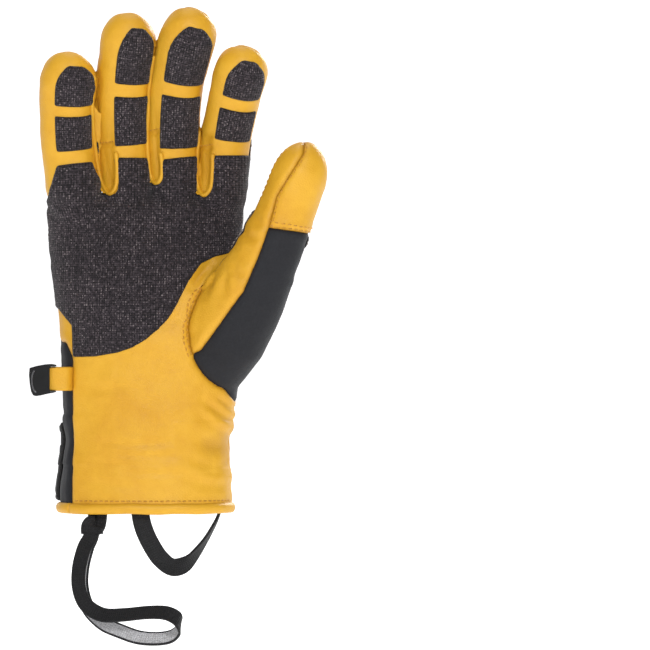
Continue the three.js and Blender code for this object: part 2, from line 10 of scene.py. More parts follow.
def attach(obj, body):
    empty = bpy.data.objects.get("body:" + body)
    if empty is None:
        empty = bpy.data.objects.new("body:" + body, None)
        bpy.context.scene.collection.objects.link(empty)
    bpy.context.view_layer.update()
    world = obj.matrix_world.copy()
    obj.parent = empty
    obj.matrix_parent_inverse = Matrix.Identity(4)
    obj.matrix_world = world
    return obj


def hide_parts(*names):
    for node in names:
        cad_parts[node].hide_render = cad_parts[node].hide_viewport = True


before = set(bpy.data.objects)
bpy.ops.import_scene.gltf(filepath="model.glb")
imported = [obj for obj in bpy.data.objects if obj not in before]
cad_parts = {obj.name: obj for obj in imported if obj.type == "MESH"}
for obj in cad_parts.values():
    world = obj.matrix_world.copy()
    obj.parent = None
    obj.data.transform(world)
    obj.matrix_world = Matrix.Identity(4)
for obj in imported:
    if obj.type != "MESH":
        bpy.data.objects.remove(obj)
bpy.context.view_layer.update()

# The scene's arrays are in millimetres. The frame is in metres.
MM = 0.001
VOXEL = 1.0
WALL = 1.7
PALM_WIDTH, PALM_DEPTH, HAND_HEIGHT = 100, 44, 158
# Powers of the superellipses across the hand and across a digit
HAND_POWER, DIGIT_POWER = 2.3, 2.15
# A digit tip's dome in shares of the digit's width
DOME = 0.55

FINGERS = ["little", "ring", "middle", "index"]

# up, left, right, front, back
HAND = np.array([
    [0.0, -0.43, 0.43, -0.62, 0.66], [0.23, -0.41, 0.427, -0.56, 0.61], [0.39, -0.42, 0.46, -0.52, 0.62],
    [0.54, -0.425, 0.47, -0.48, 0.66], [0.66, -0.44, 0.455, -0.4, 0.7], [0.76, -0.465, 0.445, -0.27, 0.72],
    [0.88, -0.485, 0.468, -0.1, 0.72], [0.965, -0.49, 0.482, -0.01, 0.68], [1.0, -0.42, 0.4, 0.16, 0.5],
])

# x, y, z, length, width, depth, lean, bow, rise, curl
DIGITS = {
    "little": (-33.5, 11, 146, 87.5, 28, 25, -15, 26, 4, 30),
    "ring": (-6, 15, 146, 108, 27.5, 26, -14, 29, 5, 34),
    "middle": (18, 16.5, 146, 113, 27.5, 27, -13, 36, 3, 40),
    "index": (37.3, 14, 146, 93, 26.4, 26, -1, 22, 3, 40),
    "thumb": (26, 2, 68, 133, 33, 31, 35, -18, -22, -26),
}
# Rows of a finger's and the thumb's shape, in shares: along, width, depth
FINGER_SHAPE = ([0.0, 0.13, 0.22, 0.4, 0.65, 0.82, 1.0],
                [0.66, 0.9, 0.935, 0.937, 0.97, 1.03, 1.0],
                [0.8, 1.0, 1.0, 0.96, 0.96, 0.96, 0.92])
THUMB_SHAPE = ([0.0, 0.2, 0.4, 0.54, 0.72, 1.0],
               [1.16, 1.32, 1.18, 1.0, 0.88, 0.8],
               [1.1, 1.24, 1.16, 1.0, 0.9, 0.84])


# Shapes of the hand and the digits, meshes and polylines

def heading(d, share):
    lean = math.radians(d[6] + d[7] * share)
    rise = math.radians(d[8] - d[9] * share)
    return Vector((math.sin(lean) * math.cos(rise), math.sin(rise), math.cos(lean) * math.cos(rise)))


def digit_frame(d, along):
    point = Vector(d[:3])
    for piece in range(24):
        point += heading(d, (piece + 0.5) / 24 * along) * (d[3] * along / 24)
    ahead = heading(d, along)
    across = Vector((0, 1, 0)).cross(ahead).normalized()
    return point, ahead, across, ahead.cross(across)


def superellipse(angle, power):
    c, s = math.cos(angle), math.sin(angle)
    return math.copysign(abs(c) ** (2 / power), c), math.copysign(abs(s) ** (2 / power), s)


def loft(rings, first, last):
    """Vertices and faces of a closed loft through rings of equally many points."""
    count = len(rings[0])
    verts = [first] + [p for ring in rings for p in ring] + [last]
    faces = []
    for side in range(count):
        nxt = (side + 1) % count
        faces.append((0, 1 + nxt, 1 + side))
        for r in range(len(rings) - 1):
            a, b = 1 + r * count + side, 1 + r * count + nxt
            faces.append((a, b, b + count, a + count))
        top = 1 + (len(rings) - 1) * count
        faces.append((len(verts) - 1, top + side, top + nxt))
    return verts, faces


def ring_faces(rings, count, start=0):
    """Quads between rings of count points each, and a face over each end."""
    faces = []
    for ring in range(rings - 1):
        for side in range(count):
            a, b = start + ring * count + side, start + ring * count + (side + 1) % count
            faces.append((a, b, b + count, a + count))
    last = start + (rings - 1) * count
    return faces + [tuple(range(start + count - 1, start - 1, -1)), tuple(range(last, last + count))]


def digit_half(name, along, most=1.0):
    """Half a digit's width and depth at a share of its length. Its tip closes in a dome."""
    d = DIGITS[name]
    alongs, widths, depths = THUMB_SHAPE if name == "thumb" else FINGER_SHAPE
    dome = DOME * d[4] / d[3]
    past = np.clip((along - (1 - dome)) / dome, 0, most)
    round_off = np.sqrt(1 - past * past)
    return (0.5 * d[4] * np.interp(along, alongs, widths) * round_off,
            0.5 * d[5] * np.interp(along, alongs, depths) * round_off)


def digit_loft(name, sides=44):
    d = DIGITS[name]
    dome = DOME * d[4] / d[3]
    steps = [(1 - dome) * s / 30 for s in range(31)]
    steps += [1 - dome + dome * math.sin(math.radians(a)) for a in (12, 24, 36, 48, 58, 67, 75, 81, 86)]
    section = [superellipse(2 * math.pi * s / sides, DIGIT_POWER) for s in range(sides)]
    rings = []
    for along in steps:
        point, _, across, back = digit_frame(d, along)
        half_w, half_d = digit_half(name, along)
        rings.append([tuple(point + across * (c * half_w) + back * (b * half_d)) for c, b in section])
    return loft(rings, tuple(digit_frame(d, 0)[0]), tuple(digit_frame(d, 1)[0]))


def hand_half(up):
    """Left, right, front and back of the hand in millimetres at a share of its height."""
    left, right, front, back = (np.interp(up, HAND[:, 0], HAND[:, k]) for k in range(1, 5))
    return left * PALM_WIDTH, right * PALM_WIDTH, front * PALM_DEPTH, back * PALM_DEPTH


def hand_point(up, angle):
    left, right, front, back = hand_half(up)
    c, b = superellipse(angle, HAND_POWER)
    return ((left + right) / 2 + c * (right - left) / 2, (front + back) / 2 + b * (back - front) / 2,
            up * HAND_HEIGHT)


def hand_loft(sides=96):
    ups = list(np.linspace(0, 0.96, 49)) + [0.975, 0.99, 1.0]
    rings = [[hand_point(up, 2 * math.pi * s / sides) for s in range(sides)] for up in ups]
    middle = [tuple(np.mean(np.array(ring), axis=0)) for ring in (rings[0], rings[-1])]
    return loft(rings, *middle)


def mesh_object(name, verts, faces, materials, face_slots=None, uv=None):
    """A smooth mesh object from vertices in millimetres."""
    mesh = bpy.data.meshes.new(name)
    faces = faces.tolist() if isinstance(faces, np.ndarray) else faces
    mesh.from_pydata((np.asarray(verts, dtype=float) * MM).tolist(), [], faces)
    for material in materials:
        mesh.materials.append(material)
    if face_slots is not None:
        mesh.polygons.foreach_set("material_index", np.asarray(face_slots, dtype=np.int32))
    mesh.update(calc_edges=True)
    mesh.validate()
    mesh.polygons.foreach_set("use_smooth", [True] * len(mesh.polygons))
    if uv is not None:
        layer = mesh.uv_layers.new(name="UVMap")
        index = np.empty(len(mesh.loops), dtype=np.int32)
        mesh.loops.foreach_get("vertex_index", index)
        layer.data.foreach_set("uv", np.asarray(uv, dtype=np.float32)[index].ravel())
    obj = bpy.data.objects.new(name, mesh)
    bpy.context.collection.objects.link(obj)
    return obj


def place(obj, slot, *nodes):
    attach(obj, "root")
    if nodes:
        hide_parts(*nodes)
    return obj


# Skin of the whole glove

class Skin:
    """A quad mesh in numpy arrays, with its neighbours, faces round each edge and normals."""

    def __init__(self, verts, quads):
        self.verts, self.quads = verts, quads
        sides = np.sort(np.concatenate([quads[:, [k, (k + 1) % 4]] for k in range(4)]), axis=1)
        owners = np.tile(np.arange(len(quads)), 4)
        self.edges, inverse = np.unique(sides, axis=0, return_inverse=True)
        inverse = inverse.ravel()
        order = np.argsort(inverse, kind="stable")
        counts = np.bincount(inverse, minlength=len(self.edges))
        starts = np.concatenate([[0], np.cumsum(counts)[:-1]])
        self.edge_faces = np.full((len(self.edges), 2), -1)
        self.edge_faces[:, 0] = owners[order[starts]]
        shared = counts > 1
        self.edge_faces[shared, 1] = owners[order[starts[shared] + 1]]
        self.degree = np.bincount(self.edges.ravel(), minlength=len(self.verts)).astype(float)
        self.degree[self.degree == 0] = 1

    def mean(self, values):
        """Mean of the neighbours' values at each vertex."""
        a, b = self.edges.T
        size = len(self.verts)
        if values.ndim == 1:
            total = np.bincount(a, values[b], size) + np.bincount(b, values[a], size)
            return total / self.degree
        return np.stack([self.mean(values[:, k]) for k in range(values.shape[1])], axis=1)

    def normals(self):
        v, q = self.verts, self.quads
        cross = np.cross(v[q[:, 2]] - v[q[:, 0]], v[q[:, 3]] - v[q[:, 1]])
        total = np.zeros_like(v)
        for k in range(4):
            for axis in range(3):
                total[:, axis] += np.bincount(q[:, k], cross[:, axis], len(v))
        length = np.linalg.norm(total, axis=1)
        length[length == 0] = 1
        return total / length[:, None]

    def tree(self):
        return BVHTree.FromPolygons(self.verts.tolist(), self.quads.tolist())

    def part(self, keep):
        """The faces in keep as a skin of their own, and its vertices' numbers in this one."""
        quads = self.quads[keep]
        used, inverse = np.unique(quads, return_inverse=True)
        return Skin(self.verts[used], inverse.reshape(quads.shape)), used


def voxel_skin():
    verts, faces = [], []
    for piece_verts, piece_faces in [hand_loft()] + [digit_loft(name) for name in DIGITS]:
        start = len(verts)
        verts += piece_verts
        faces += [tuple(start + v for v in face) for face in piece_faces]
    source = mesh_object("source", verts, faces, [])
    remesh = source.modifiers.new("remesh", "REMESH")
    remesh.mode = "VOXEL"
    remesh.voxel_size = VOXEL * MM
    remesh.adaptivity = 0
    evaluated = source.evaluated_get(bpy.context.evaluated_depsgraph_get())
    mesh = evaluated.to_mesh()
    points = np.empty(len(mesh.vertices) * 3)
    mesh.vertices.foreach_get("co", points)
    index = np.empty(len(mesh.loops), dtype=np.int32)
    mesh.loops.foreach_get("vertex_index", index)
    evaluated.to_mesh_clear()
    bpy.data.objects.remove(source)
    skin = Skin(points.reshape(-1, 3) / MM, index.reshape(-1, 4).astype(np.int64))
    for _ in range(8):
        skin.verts += 0.6 * (skin.mean(skin.verts) - skin.verts)
        skin.verts -= 0.62 * (skin.mean(skin.verts) - skin.verts)
    for _ in range(3):
        skin.verts += 0.5 * (skin.mean(skin.verts) - skin.verts)
    return skin


def on_hand(*rows):
    """A flat outline in millimetres from shares of the palm's width and the hand's height."""
    return np.array(rows) * (PALM_WIDTH, HAND_HEIGHT)


def flat_distance(points, line):
    """Signed distance in x and z to a closed outline: below 0 inside it."""
    p = points[:, [0, 2]]
    far = np.full(len(p), 1e9)
    inside = np.zeros(len(p), dtype=bool)
    for a, b in zip(line, np.roll(line, -1, axis=0)):
        t = np.clip(((p - a) @ (b - a)) / ((b - a) @ (b - a)), 0, 1)
        far = np.minimum(far, np.linalg.norm(p - a - t[:, None] * (b - a), axis=1))
        rise = b[1] - a[1]
        if rise:
            crossed = (a[1] > p[:, 1]) != (b[1] > p[:, 1])
            inside ^= crossed & (p[:, 0] < a[0] + (p[:, 1] - a[1]) * (b[0] - a[0]) / rise)
    return np.where(inside, -far, far)


class DigitSpace:
    """Points seen from a digit: u across and v back in shares of its half sizes, t in shares of its length.

    half and deep are those half sizes, and far is roughly the distance from its surface."""

    def __init__(self, name, points):
        d = DIGITS[name]
        shares = np.linspace(-0.06, 1.0, 54)
        frames = [digit_frame(d, share) for share in shares]
        centres, ahead, across, back = (np.array([f[k] for f in frames]) for k in range(4))
        away = (points ** 2).sum(axis=1)[:, None] + (centres ** 2).sum(axis=1)[None] - 2 * points @ centres.T
        nearest = away.argmin(axis=1)
        self.length = d[3]
        self.t = shares[nearest] + ((points - centres[nearest]) * ahead[nearest]).sum(axis=1) / d[3]
        at = np.clip(self.t, shares[0], 1)
        spot, side, rear = (np.stack([np.interp(at, shares, rows[:, k]) for k in range(3)], axis=1)
                            for rows in (centres, across, back))
        self.half, self.deep = digit_half(name, at, 0.95)
        self.u = ((points - spot) * side).sum(axis=1) / self.half
        self.v = ((points - spot) * rear).sum(axis=1) / self.deep
        radial = (np.abs(self.u) ** DIGIT_POWER + np.abs(self.v) ** DIGIT_POWER) ** (1 / DIGIT_POWER)
        self.far = (radial - 1) * (self.half + self.deep) / 2 + np.maximum(0, -self.t) * d[3]

    def band(self, start, stop, left, right, facing, arched=False):
        """Signed distance to a band on the digit's front (-1) or back (1), arched over at its top."""
        if arched:
            up = np.clip((self.t - start) / (stop - start), 0, 1)
            bends = [np.clip((up - bent) / (1 - bent), 0, 1) for bent in (0.45, 0.7)]
            left, right = (edge + way * (right - left) * (1 - np.sqrt(1 - bend * bend))
                           for edge, way, bend in ((left, 0.34, bends[0]), (right, -0.22, bends[1])))
        return np.max([(left - self.u) * self.half, (self.u - right) * self.half,
                       (start - self.t) * self.length, (self.t - stop) * self.length,
                       -facing * self.v * self.deep], axis=0)


def borders(skin, label):
    """Edges between faces of different labels, and the labels on their two sides."""
    first, second = skin.edge_faces.T
    inner = second >= 0
    cut = inner & (label[first] != label[np.where(inner, second, first)])
    pairs = np.stack([label[first[cut]], label[second[cut]]], axis=1)
    return skin.edges[cut], pairs


def snap(skin, label, fields, rounds=3):
    """Moves the vertices between differently labelled faces onto the line where their fields meet."""
    edges, pairs = borders(skin, label)
    at = {}
    for (a, b), pair in zip(edges.tolist(), pairs.tolist()):
        for v in (a, b):
            at.setdefault(v, set()).update(pair)
    around = {v: [] for v in at}
    for a, b in skin.edges.tolist():
        if a in around:
            around[a].append(b)
        if b in around:
            around[b].append(a)
    old = skin.verts.copy()
    for v, labels in at.items():
        if len(labels) != 2:
            continue
        i, j = labels
        gap = fields[i] - fields[j]
        here, best = gap[v], None
        for w in around[v]:
            if here * gap[w] < 0:
                t = here / (here - gap[w])
                if best is None or t < best[0]:
                    best = (t, w)
        if best and best[0] > 0.01:
            t = min(best[0], 0.6)
            skin.verts[v] = old[v] + t * (old[best[1]] - old[v])
    chain = {v: set() for v in at}
    for a, b in edges.tolist():
        chain[a].add(b)
        chain[b].add(a)
    inner = [v for v, n in chain.items() if len(n) == 2]
    ends = np.array([list(chain[v]) for v in inner]).reshape(-1, 2)
    inner = np.array(inner, dtype=int)
    for _ in range(rounds):
        if len(inner):
            middle = (skin.verts[ends[:, 0]] + skin.verts[ends[:, 1]]) / 2
            skin.verts[inner] += 0.5 * (middle - skin.verts[inner])
    fixed = np.zeros(len(skin.verts), dtype=bool)
    fixed[list(at)] = True
    band = fixed.copy()
    for _ in range(2):
        grow = skin.mean(band.astype(float)) > 0
        band |= grow
    band &= ~fixed
    normal = skin.normals()
    for _ in range(4):
        move = skin.mean(skin.verts) - skin.verts
        move -= (move * normal).sum(axis=1)[:, None] * normal
        skin.verts[band] += 0.6 * move[band]
    return np.array(sorted(at), dtype=int)


def distance_to(points, targets):
    """Distance of each point to the nearest target, up to 30 mm."""
    tree = KDTree(len(targets))
    for i, p in enumerate(targets):
        tree.insert(p, i)
    tree.balance()
    return np.array([min(30.0, tree.find(p)[2]) for p in points])


def chains(edges):
    """Polylines of vertex numbers through a set of edges."""
    around = {}
    for a, b in edges.tolist():
        around.setdefault(a, []).append(b)
        around.setdefault(b, []).append(a)
    used, lines = set(), []
    starts = [v for v, n in around.items() if len(n) != 2] + list(around)
    for start in starts:
        for step in around[start]:
            key = (min(start, step), max(start, step))
            if key in used:
                continue
            line, before, here = [start], start, step
            used.add(key)
            while True:
                line.append(here)
                if len(around[here]) != 2 or here == start:
                    break
                nxt = [n for n in around[here] if n != before]
                if not nxt:
                    break
                key = (min(here, nxt[0]), max(here, nxt[0]))
                if key in used:
                    break
                used.add(key)
                before, here = here, nxt[0]
            if len(line) > 3:
                lines.append(line)
    return lines


def resampled(points, step, rounds=2):
    """A polyline evened out and cut into steps of equal length."""
    points = np.asarray(points, dtype=float).copy()
    for _ in range(rounds):
        points[1:-1] = 0.5 * points[1:-1] + 0.25 * (points[:-2] + points[2:])
    lengths = np.linalg.norm(np.diff(points, axis=0), axis=1)
    total = np.concatenate([[0], np.cumsum(lengths)])
    count = max(2, int(round(total[-1] / step)))
    at = np.linspace(0, total[-1], count + 1)
    return np.stack([np.interp(at, total, points[:, k]) for k in range(3)], axis=1)


def catmull(rows_, steps):
    """A smooth run through rows of numbers."""
    rows_ = np.asarray(rows_, dtype=float)
    result = []
    for k in range(len(rows_) - 1):
        p0, p1, p2, p3 = (rows_[max(0, k - 1)], rows_[k], rows_[k + 1], rows_[min(len(rows_) - 1, k + 2)])
        for s in range(steps):
            t = s / steps
            result.append(0.5 * (2 * p1 + (p2 - p0) * t + (2 * p0 - 5 * p1 + 4 * p2 - p3) * t ** 2
                                 + (3 * p1 - p0 - 3 * p2 + p3) * t ** 3))
    result.append(rows_[-1])
    return np.array(result)


# Materials

class Value:
    """A node's output that takes part in sums and products."""

    def __init__(self, nodes, socket):
        self.nodes = nodes
        self.socket = socket

    def __add__(self, other):
        return self.nodes.math("ADD", self, other)

    def __sub__(self, other):
        return self.nodes.math("SUBTRACT", self, other)

    def __mul__(self, other):
        return self.nodes.math("MULTIPLY", self, other)


class Nodes:
    """Short names for building a material's nodes."""

    def __init__(self, name):
        self.material = bpy.data.materials.new(name)
        self.material.use_nodes = True
        self.tree = self.material.node_tree
        self.coords = self.add("TexCoord").outputs

    def feed(self, socket, value):
        """Sets a socket to a number or a colour, or links an output to it."""
        value = value.socket if isinstance(value, Value) else value
        if isinstance(value, bpy.types.NodeSocket):
            self.tree.links.new(value, socket)
        else:
            socket.default_value = (*value, 1) if isinstance(value, tuple) else value

    def add(self, kind, **settings):
        node = self.tree.nodes.new("ShaderNode" + kind)
        for key, value in settings.items():
            if hasattr(node, key):
                setattr(node, key, value)
            else:
                self.feed(node.inputs[key.replace("_", " ")], value)
        return node

    def math(self, operation, a, b=0.0):
        node = self.add("Math", operation=operation)
        self.feed(node.inputs[0], a)
        self.feed(node.inputs[1], b)
        return Value(self, node.outputs[0])

    def wave(self, value, pitch, shift=None):
        turn = value * (2 * math.pi / pitch)
        return self.math("SINE", turn if shift is None else turn + shift)

    def split(self, coords):
        node = self.add("SeparateXYZ", Vector=self.coords[coords])
        return [Value(self, output) for output in node.outputs]

    def noise(self, scale, detail=2.0, rough=0.5):
        node = self.add("TexNoise", Vector=self.coords["Object"], Scale=scale, Detail=detail, Roughness=rough)
        return Value(self, node.outputs["Fac"])

    def cells(self, feature, scale):
        node = self.add("TexVoronoi", Vector=self.coords["Object"], feature=feature, Scale=scale)
        return Value(self, node.outputs["Distance"])

    def ramp(self, value, stops):
        node = self.add("ValToRGB", Fac=value)
        elements = node.color_ramp.elements
        while len(elements) < len(stops):
            elements.new(0.5)
        for element, (at, color) in zip(elements, stops):
            element.position = at
            element.color = (*color, 1)
        return node.outputs["Color"]

    def mix(self, factor, a, b):
        node = self.add("Mix", data_type="RGBA")
        for key, value in (("Factor", factor), ("A", a), ("B", b)):
            self.feed([s for s in node.inputs if s.name == key and s.enabled][0], value)
        return [s for s in node.outputs if s.enabled][0]

    def darkened_by_painted_shade(self, color, amount, dark):
        """Darkens a colour by the mesh's seam attribute, which holds painted shade along seams, in fold and
        tongue beds and at layer edges.
        """
        seam = Value(self, self.add("Attribute", attribute_name="seam").outputs["Fac"])
        return self.mix(seam * amount, color, dark)

    def done(self, color, rough, height, strength, distance, **sockets):
        normal = self.add("Bump", Height=height, Strength=strength, Distance=distance).outputs["Normal"]
        sockets.update(Base_Color=color, Roughness=rough, Normal=normal)
        for key, value in sockets.items():
            self.feed(self.tree.nodes["Principled BSDF"].inputs[key.replace("_", " ")], value)
        return self.material


def leather_material(name, dark, middle, light, rough=0.5, grain=1.0, sheen=0.0):
    n = Nodes(name)
    fine = n.noise(190, 4, 0.6)
    color = n.ramp(n.noise(26, 3, 0.55) * 0.7 + fine * 0.3, [(0.3, dark), (0.5, middle), (0.68, light)])
    # Painted shade: a darker, deeper orange along seams, in folds and in the tongues' beds, by the seam
    # attribute
    color = n.darkened_by_painted_shade(color, 0.6, (dark[0] * 0.5, dark[1] * 0.4, dark[2] * 0.3))
    pebble = n.math("MINIMUM", n.cells("DISTANCE_TO_EDGE", 820.0) * 4.0, 1.0)
    height = pebble * 0.45 + n.noise(420, 5, 0.65) * 0.8 + n.cells("F1", 1500.0) * 0.25
    return n.done(color, fine * 0.2 + (rough - 0.1), height, 0.32 * grain, 0.0004,
                  Specular_IOR_Level=0.32, Sheen_Weight=sheen, Sheen_Roughness=0.4)


def knit_material(name):
    """Ribbed knit: U runs round the glove and V up it, in millimetres. Pale and dark yarns show as specks."""
    n = Nodes(name)
    side, up, _ = n.split("UV")
    warp = n.noise(60, 2)
    side, up = side + warp * 1.2, up + warp * 1.6
    column = n.wave(side, 1.3)
    loops = column * 0.5 + n.wave(up, 1.15, n.math("ABSOLUTE", column) * 1.6) * 0.5
    cell = n.add("CombineXYZ", X=n.math("FLOOR", side * (1 / 0.65)), Y=n.math("FLOOR", up * (1 / 0.9)))
    speck = Value(n, n.add("TexWhiteNoise", Vector=cell.outputs[0]).outputs["Value"])
    grain = n.noise(700, 3, 0.7)
    tone = speck * 0.42 + loops * 0.16 + grain * 0.42 + n.noise(30, 3, 0.6) * 0.16
    color = n.ramp(tone, [(0.25, (0.006, 0.005, 0.006)), (0.5, (0.022, 0.017, 0.02)),
                          (0.72, (0.055, 0.044, 0.05)), (0.93, (0.26, 0.22, 0.22))])
    # Painted shade: the knit darkens towards the patch's edge, where it meets the leather
    color = n.darkened_by_painted_shade(color, 0.8, (0.008, 0.006, 0.007))
    return n.done(color, 0.88, loops + grain * 1.2, 0.5, 0.0005,
                  Specular_IOR_Level=0.25, Sheen_Weight=0.1, Sheen_Roughness=0.5)


def cloth_material(name, dark, light, pitch=0.0007, rough=0.72, sheen=0.2, relief=0.25):
    """Close woven cloth with a faint fleck."""
    n = Nodes(name)
    x, y, z = n.split("Object")
    side = x + y * 0.8
    weave = n.wave(side + z, pitch) * n.wave(side - z, pitch)
    grain = n.noise(900, 2, 0.6)
    color = n.ramp(n.noise(18, 4, 0.6) * 0.6 + grain * 0.4, [(0.3, dark), (0.7, light)])
    # Painted shade: the cloth darkens beside seams and in folds, by the seam attribute
    color = n.darkened_by_painted_shade(color, 0.5, tuple(c * 0.35 for c in dark))
    return n.done(color, rough, weave * 0.4 + grain, relief, 0.0003,
                  Specular_IOR_Level=0.22, Sheen_Weight=sheen, Sheen_Roughness=0.45)


def webbing_material(name, dark, light, edge=None, width=7.5):
    """Woven tape: U runs across in millimetres and V along. An edge colour marks the selvedges."""
    n = Nodes(name)
    u, v, _ = n.split("UV")
    column = n.wave(u, 1.1)
    grain = n.noise(1100, 2, 0.6)
    weave = n.wave(v, 1.25, column * 1.4) * 0.5 + column * 0.25
    color = n.ramp(weave * 0.25 + grain, [(0.3, dark), (0.75, light)])
    if edge:
        color = n.mix(n.math("GREATER_THAN", n.math("ABSOLUTE", u), width / 2 - 1.0), color, edge)
    return n.done(color, 0.68, weave + grain * 0.4, 0.55, 0.0004,
                  Specular_IOR_Level=0.25, Sheen_Weight=0.04, Sheen_Roughness=0.4)


def plain_material(name, color, rough, scale=300, amount=0.12, relief=0.08, **sockets):
    """Moulded plastic, thread or a backdrop: fine mottling and a faint relief."""
    n = Nodes(name)
    grain = n.noise(scale, 3)
    low, high = (tuple(min(1.0, c * share) for c in color) for share in (1 - amount, 1 + amount))
    return n.done(n.ramp(grain, [(0.3, low), (0.7, high)]), rough, grain, relief, 0.0002, **sockets)


GOLD = leather_material("gold_leather", (0.565, 0.272, 0.011), (0.63, 0.328, 0.018), (0.68, 0.37, 0.026),
                        0.47)
KNIT = knit_material("speckled_knit")
SOFTSHELL = cloth_material("softshell", (0.01, 0.0102, 0.0125), (0.02, 0.0203, 0.024), sheen=0.04)
FLAP = leather_material("flap_cloth", (0.012, 0.0125, 0.014), (0.02, 0.021, 0.023), (0.032, 0.033, 0.036),
                        0.42, 0.8, 0.1)
LINING = cloth_material("lining", (0.01, 0.01, 0.012), (0.02, 0.02, 0.023), 0.0012, 0.9, 0.3, 0.4)
TAPE = webbing_material("webbing", (0.004, 0.004, 0.0045), (0.013, 0.013, 0.0145))
TAPE_BACK = webbing_material("webbing_reverse", (0.3, 0.3, 0.31), (0.55, 0.55, 0.57), (0.014, 0.014, 0.016))
# The ridge's plastic is paler than the clip's: a painted highlight along the ridge
CLIP_RIDGE_HIGHLIGHT = plain_material("clip_ridge_painted_highlight", (0.05, 0.05, 0.055), 0.25, 240, 0.2, 0.03, Specular_IOR_Level=0.6)
CLIP = plain_material("clip_plastic", (0.0035, 0.0035, 0.004), 0.28, 240, 0.2, 0.03, Specular_IOR_Level=0.3)
GOLD_THREAD = plain_material("gold_thread", (0.5, 0.235, 0.02), 0.6, 2500, 0.3, 0.5)
DARK_THREAD = plain_material("dark_thread", (0.03, 0.028, 0.03), 0.7, 2500, 0.3, 0.5)
PALE_THREAD = plain_material("pale_thread", (0.33, 0.28, 0.24), 0.7, 2500, 0.3, 0.5)
BACKDROP = plain_material("backdrop", (0.9, 0.9, 0.9), 0.9, 6, 0.01, 0.0, Specular_IOR_Level=0.1,
                          Emission_Color=(1, 1, 1), Emission_Strength=0.62)


# Panels of the shell

PANELS = ["palm_leather", "knuckle_panel", "cuff_thumb_panel", "back_softshell", "thumb_leather", "thumb_cap",
          "thumb_softshell"]
PANELS += [f"{name}_{kind}" for name in FINGERS for kind in ("leather", "back_panel", "cap")]
SOFT_PANELS = {"back_softshell", "thumb_softshell"} | {f"{name}_back_panel" for name in FINGERS}
HEM_CUT = 1.5

skin = voxel_skin()
points = skin.verts
x, y, z = points.T
spaces = {name: DigitSpace(name, points) for name in DIGITS}
left, right, front, back = hand_half(z / HAND_HEIGHT)
middle_y = (front + back) / 2
in_front, behind = y - middle_y, middle_y - y
c = np.abs(x - (left + right) / 2) / ((right - left) / 2)
b = np.abs(y - middle_y) / ((back - front) / 2)
hand_far = ((c ** HAND_POWER + b ** HAND_POWER) ** (1 / HAND_POWER) - 1) * (right - left + back - front) / 4
hand_far += np.maximum(0, z - HAND_HEIGHT)
on_thumb = spaces["thumb"].far - np.minimum(hand_far, spaces["index"].far)
root_point = on_hand((0.25, 0.52), (0.335, 0.446), (0.4, 0.392), (0.455, 0.35), (0.6, 0.35), (0.6, 0.6))
on_thumb = np.minimum(on_thumb, np.maximum(flat_distance(points, root_point), in_front - 4))

FINGER_BASE = [(-0.9, 1.013), (-0.18, 1.019), (0.05, 1.05), (0.295, 1.019), (0.9, 1.013)]
KNUCKLE_SEAM = [(0.9, 0.823), (0.23, 0.791), (-0.3, 0.753), (-0.4, 0.728), (-0.48, 0.671), (-0.9, 0.671)]
SIDE_STRIP = on_hand((-0.9, -0.2), (-0.365, -0.2), (-0.365, 0.49), (-0.4, 0.54), (-0.9, 0.54))
CUFF_PANEL = on_hand((0.365, -0.2), (0.9, -0.2), (0.9, 0.37), (0.365, 0.36))
SLIT_LOOP = on_hand((0.4, 0.36), (0.33, 0.352), (0.285, 0.324), (0.265, 0.295), (0.31, 0.295), (0.325, 0.312),
                    (0.35, 0.322), (0.4, 0.322))
THUMB_LEATHER = on_hand((0, 0.45), (0.278, 0.513), (0.365, 0.587), (0.495, 0.7), (0.573, 0.816), (0.62, 0.9),
                        (0.659, 1), (0.795, 1.136), (0.8, 1.3), (0, 1.3))
THUMB_CAP_FRONT = on_hand((0.62, 0.9), (0.9, 0.875), (1.1, 0.875), (1.1, 1.3), (0.8, 1.3), (0.795, 1.136),
                          (0.659, 1))
THUMB_CAP_BACK = on_hand((0.4, 1.02), (0.86, 0.87), (1.1, 0.85), (1.1, 1.3), (0.4, 1.3))
THUMB_PATCH = on_hand((0.84, 0.866), (0.75, 0.81), (0.7, 0.762), (0.58, 0.7), (0.53, 0.677), (0.47, 0.71),
                      (0.43, 0.8), (0.45, 0.99))
PALM_PATCH_FRONT = on_hand(
    (-0.445, 1.101), (-0.275, 1.114), (-0.23, 1.03), (-0.205, 1.013), (-0.178, 1.008), (-0.152, 1.013),
    (-0.135, 1.03), (-0.16, 1.127), (0, 1.127), (0.02, 1.06), (0.036, 1.048), (0.052, 1.045), (0.07, 1.048),
    (0.085, 1.06), (0.068, 1.12), (0.25, 1.133), (0.262, 1.03), (0.276, 1.011), (0.295, 1.004),
    (0.315, 1.011), (0.33, 1.03), (0.338, 1.133), (0.7, 1.137), (0.7, 0.8), (0.41, 0.823), (0.34, 0.81),
    (0.275, 0.788), (0.22, 0.737), (0.16, 0.658), (0.12, 0.617), (0.07, 0.582), (0, 0.546), (-0.06, 0.524), (-0.136, 0.508),
    (-0.247, 0.496), (-0.355, 0.494), (-0.365, 0.593), (-0.435, 0.649), (-0.56, 0.66), (-0.56, 0.95),
    (-0.508, 0.965))
PALM_PATCH_BACK = on_hand((0.7, 1.2), (0.4, 1.19), (0.41, 1.12), (0.45, 1.044), (0.43, 1.006), (0.34, 0.994),
                          (0.27, 0.905), (0.23, 0.772), (0.33, 0.747), (0.7, 0.8))

# Softshell on each finger's back, and the knit patches on its front, in shares of its length
BACK_PANELS = {"little": (0.46, 0.816), "ring": (0.458, 0.794), "middle": (0.4, 0.755),
               "index": (0.378, 0.778)}
PATCHES = {
    "little": (-0.38, (0.712, 0.955), (0.43, 0.645)), "ring": (-0.26, (0.686, 0.968), (0.372, 0.62)),
    "middle": (-0.48, (0.672, 0.966), (0.35, 0.608)), "index": (-0.42, (0.75, 0.975), (0.478, 0.673)),
}


def both(*fields_):
    return np.max(fields_, axis=0)


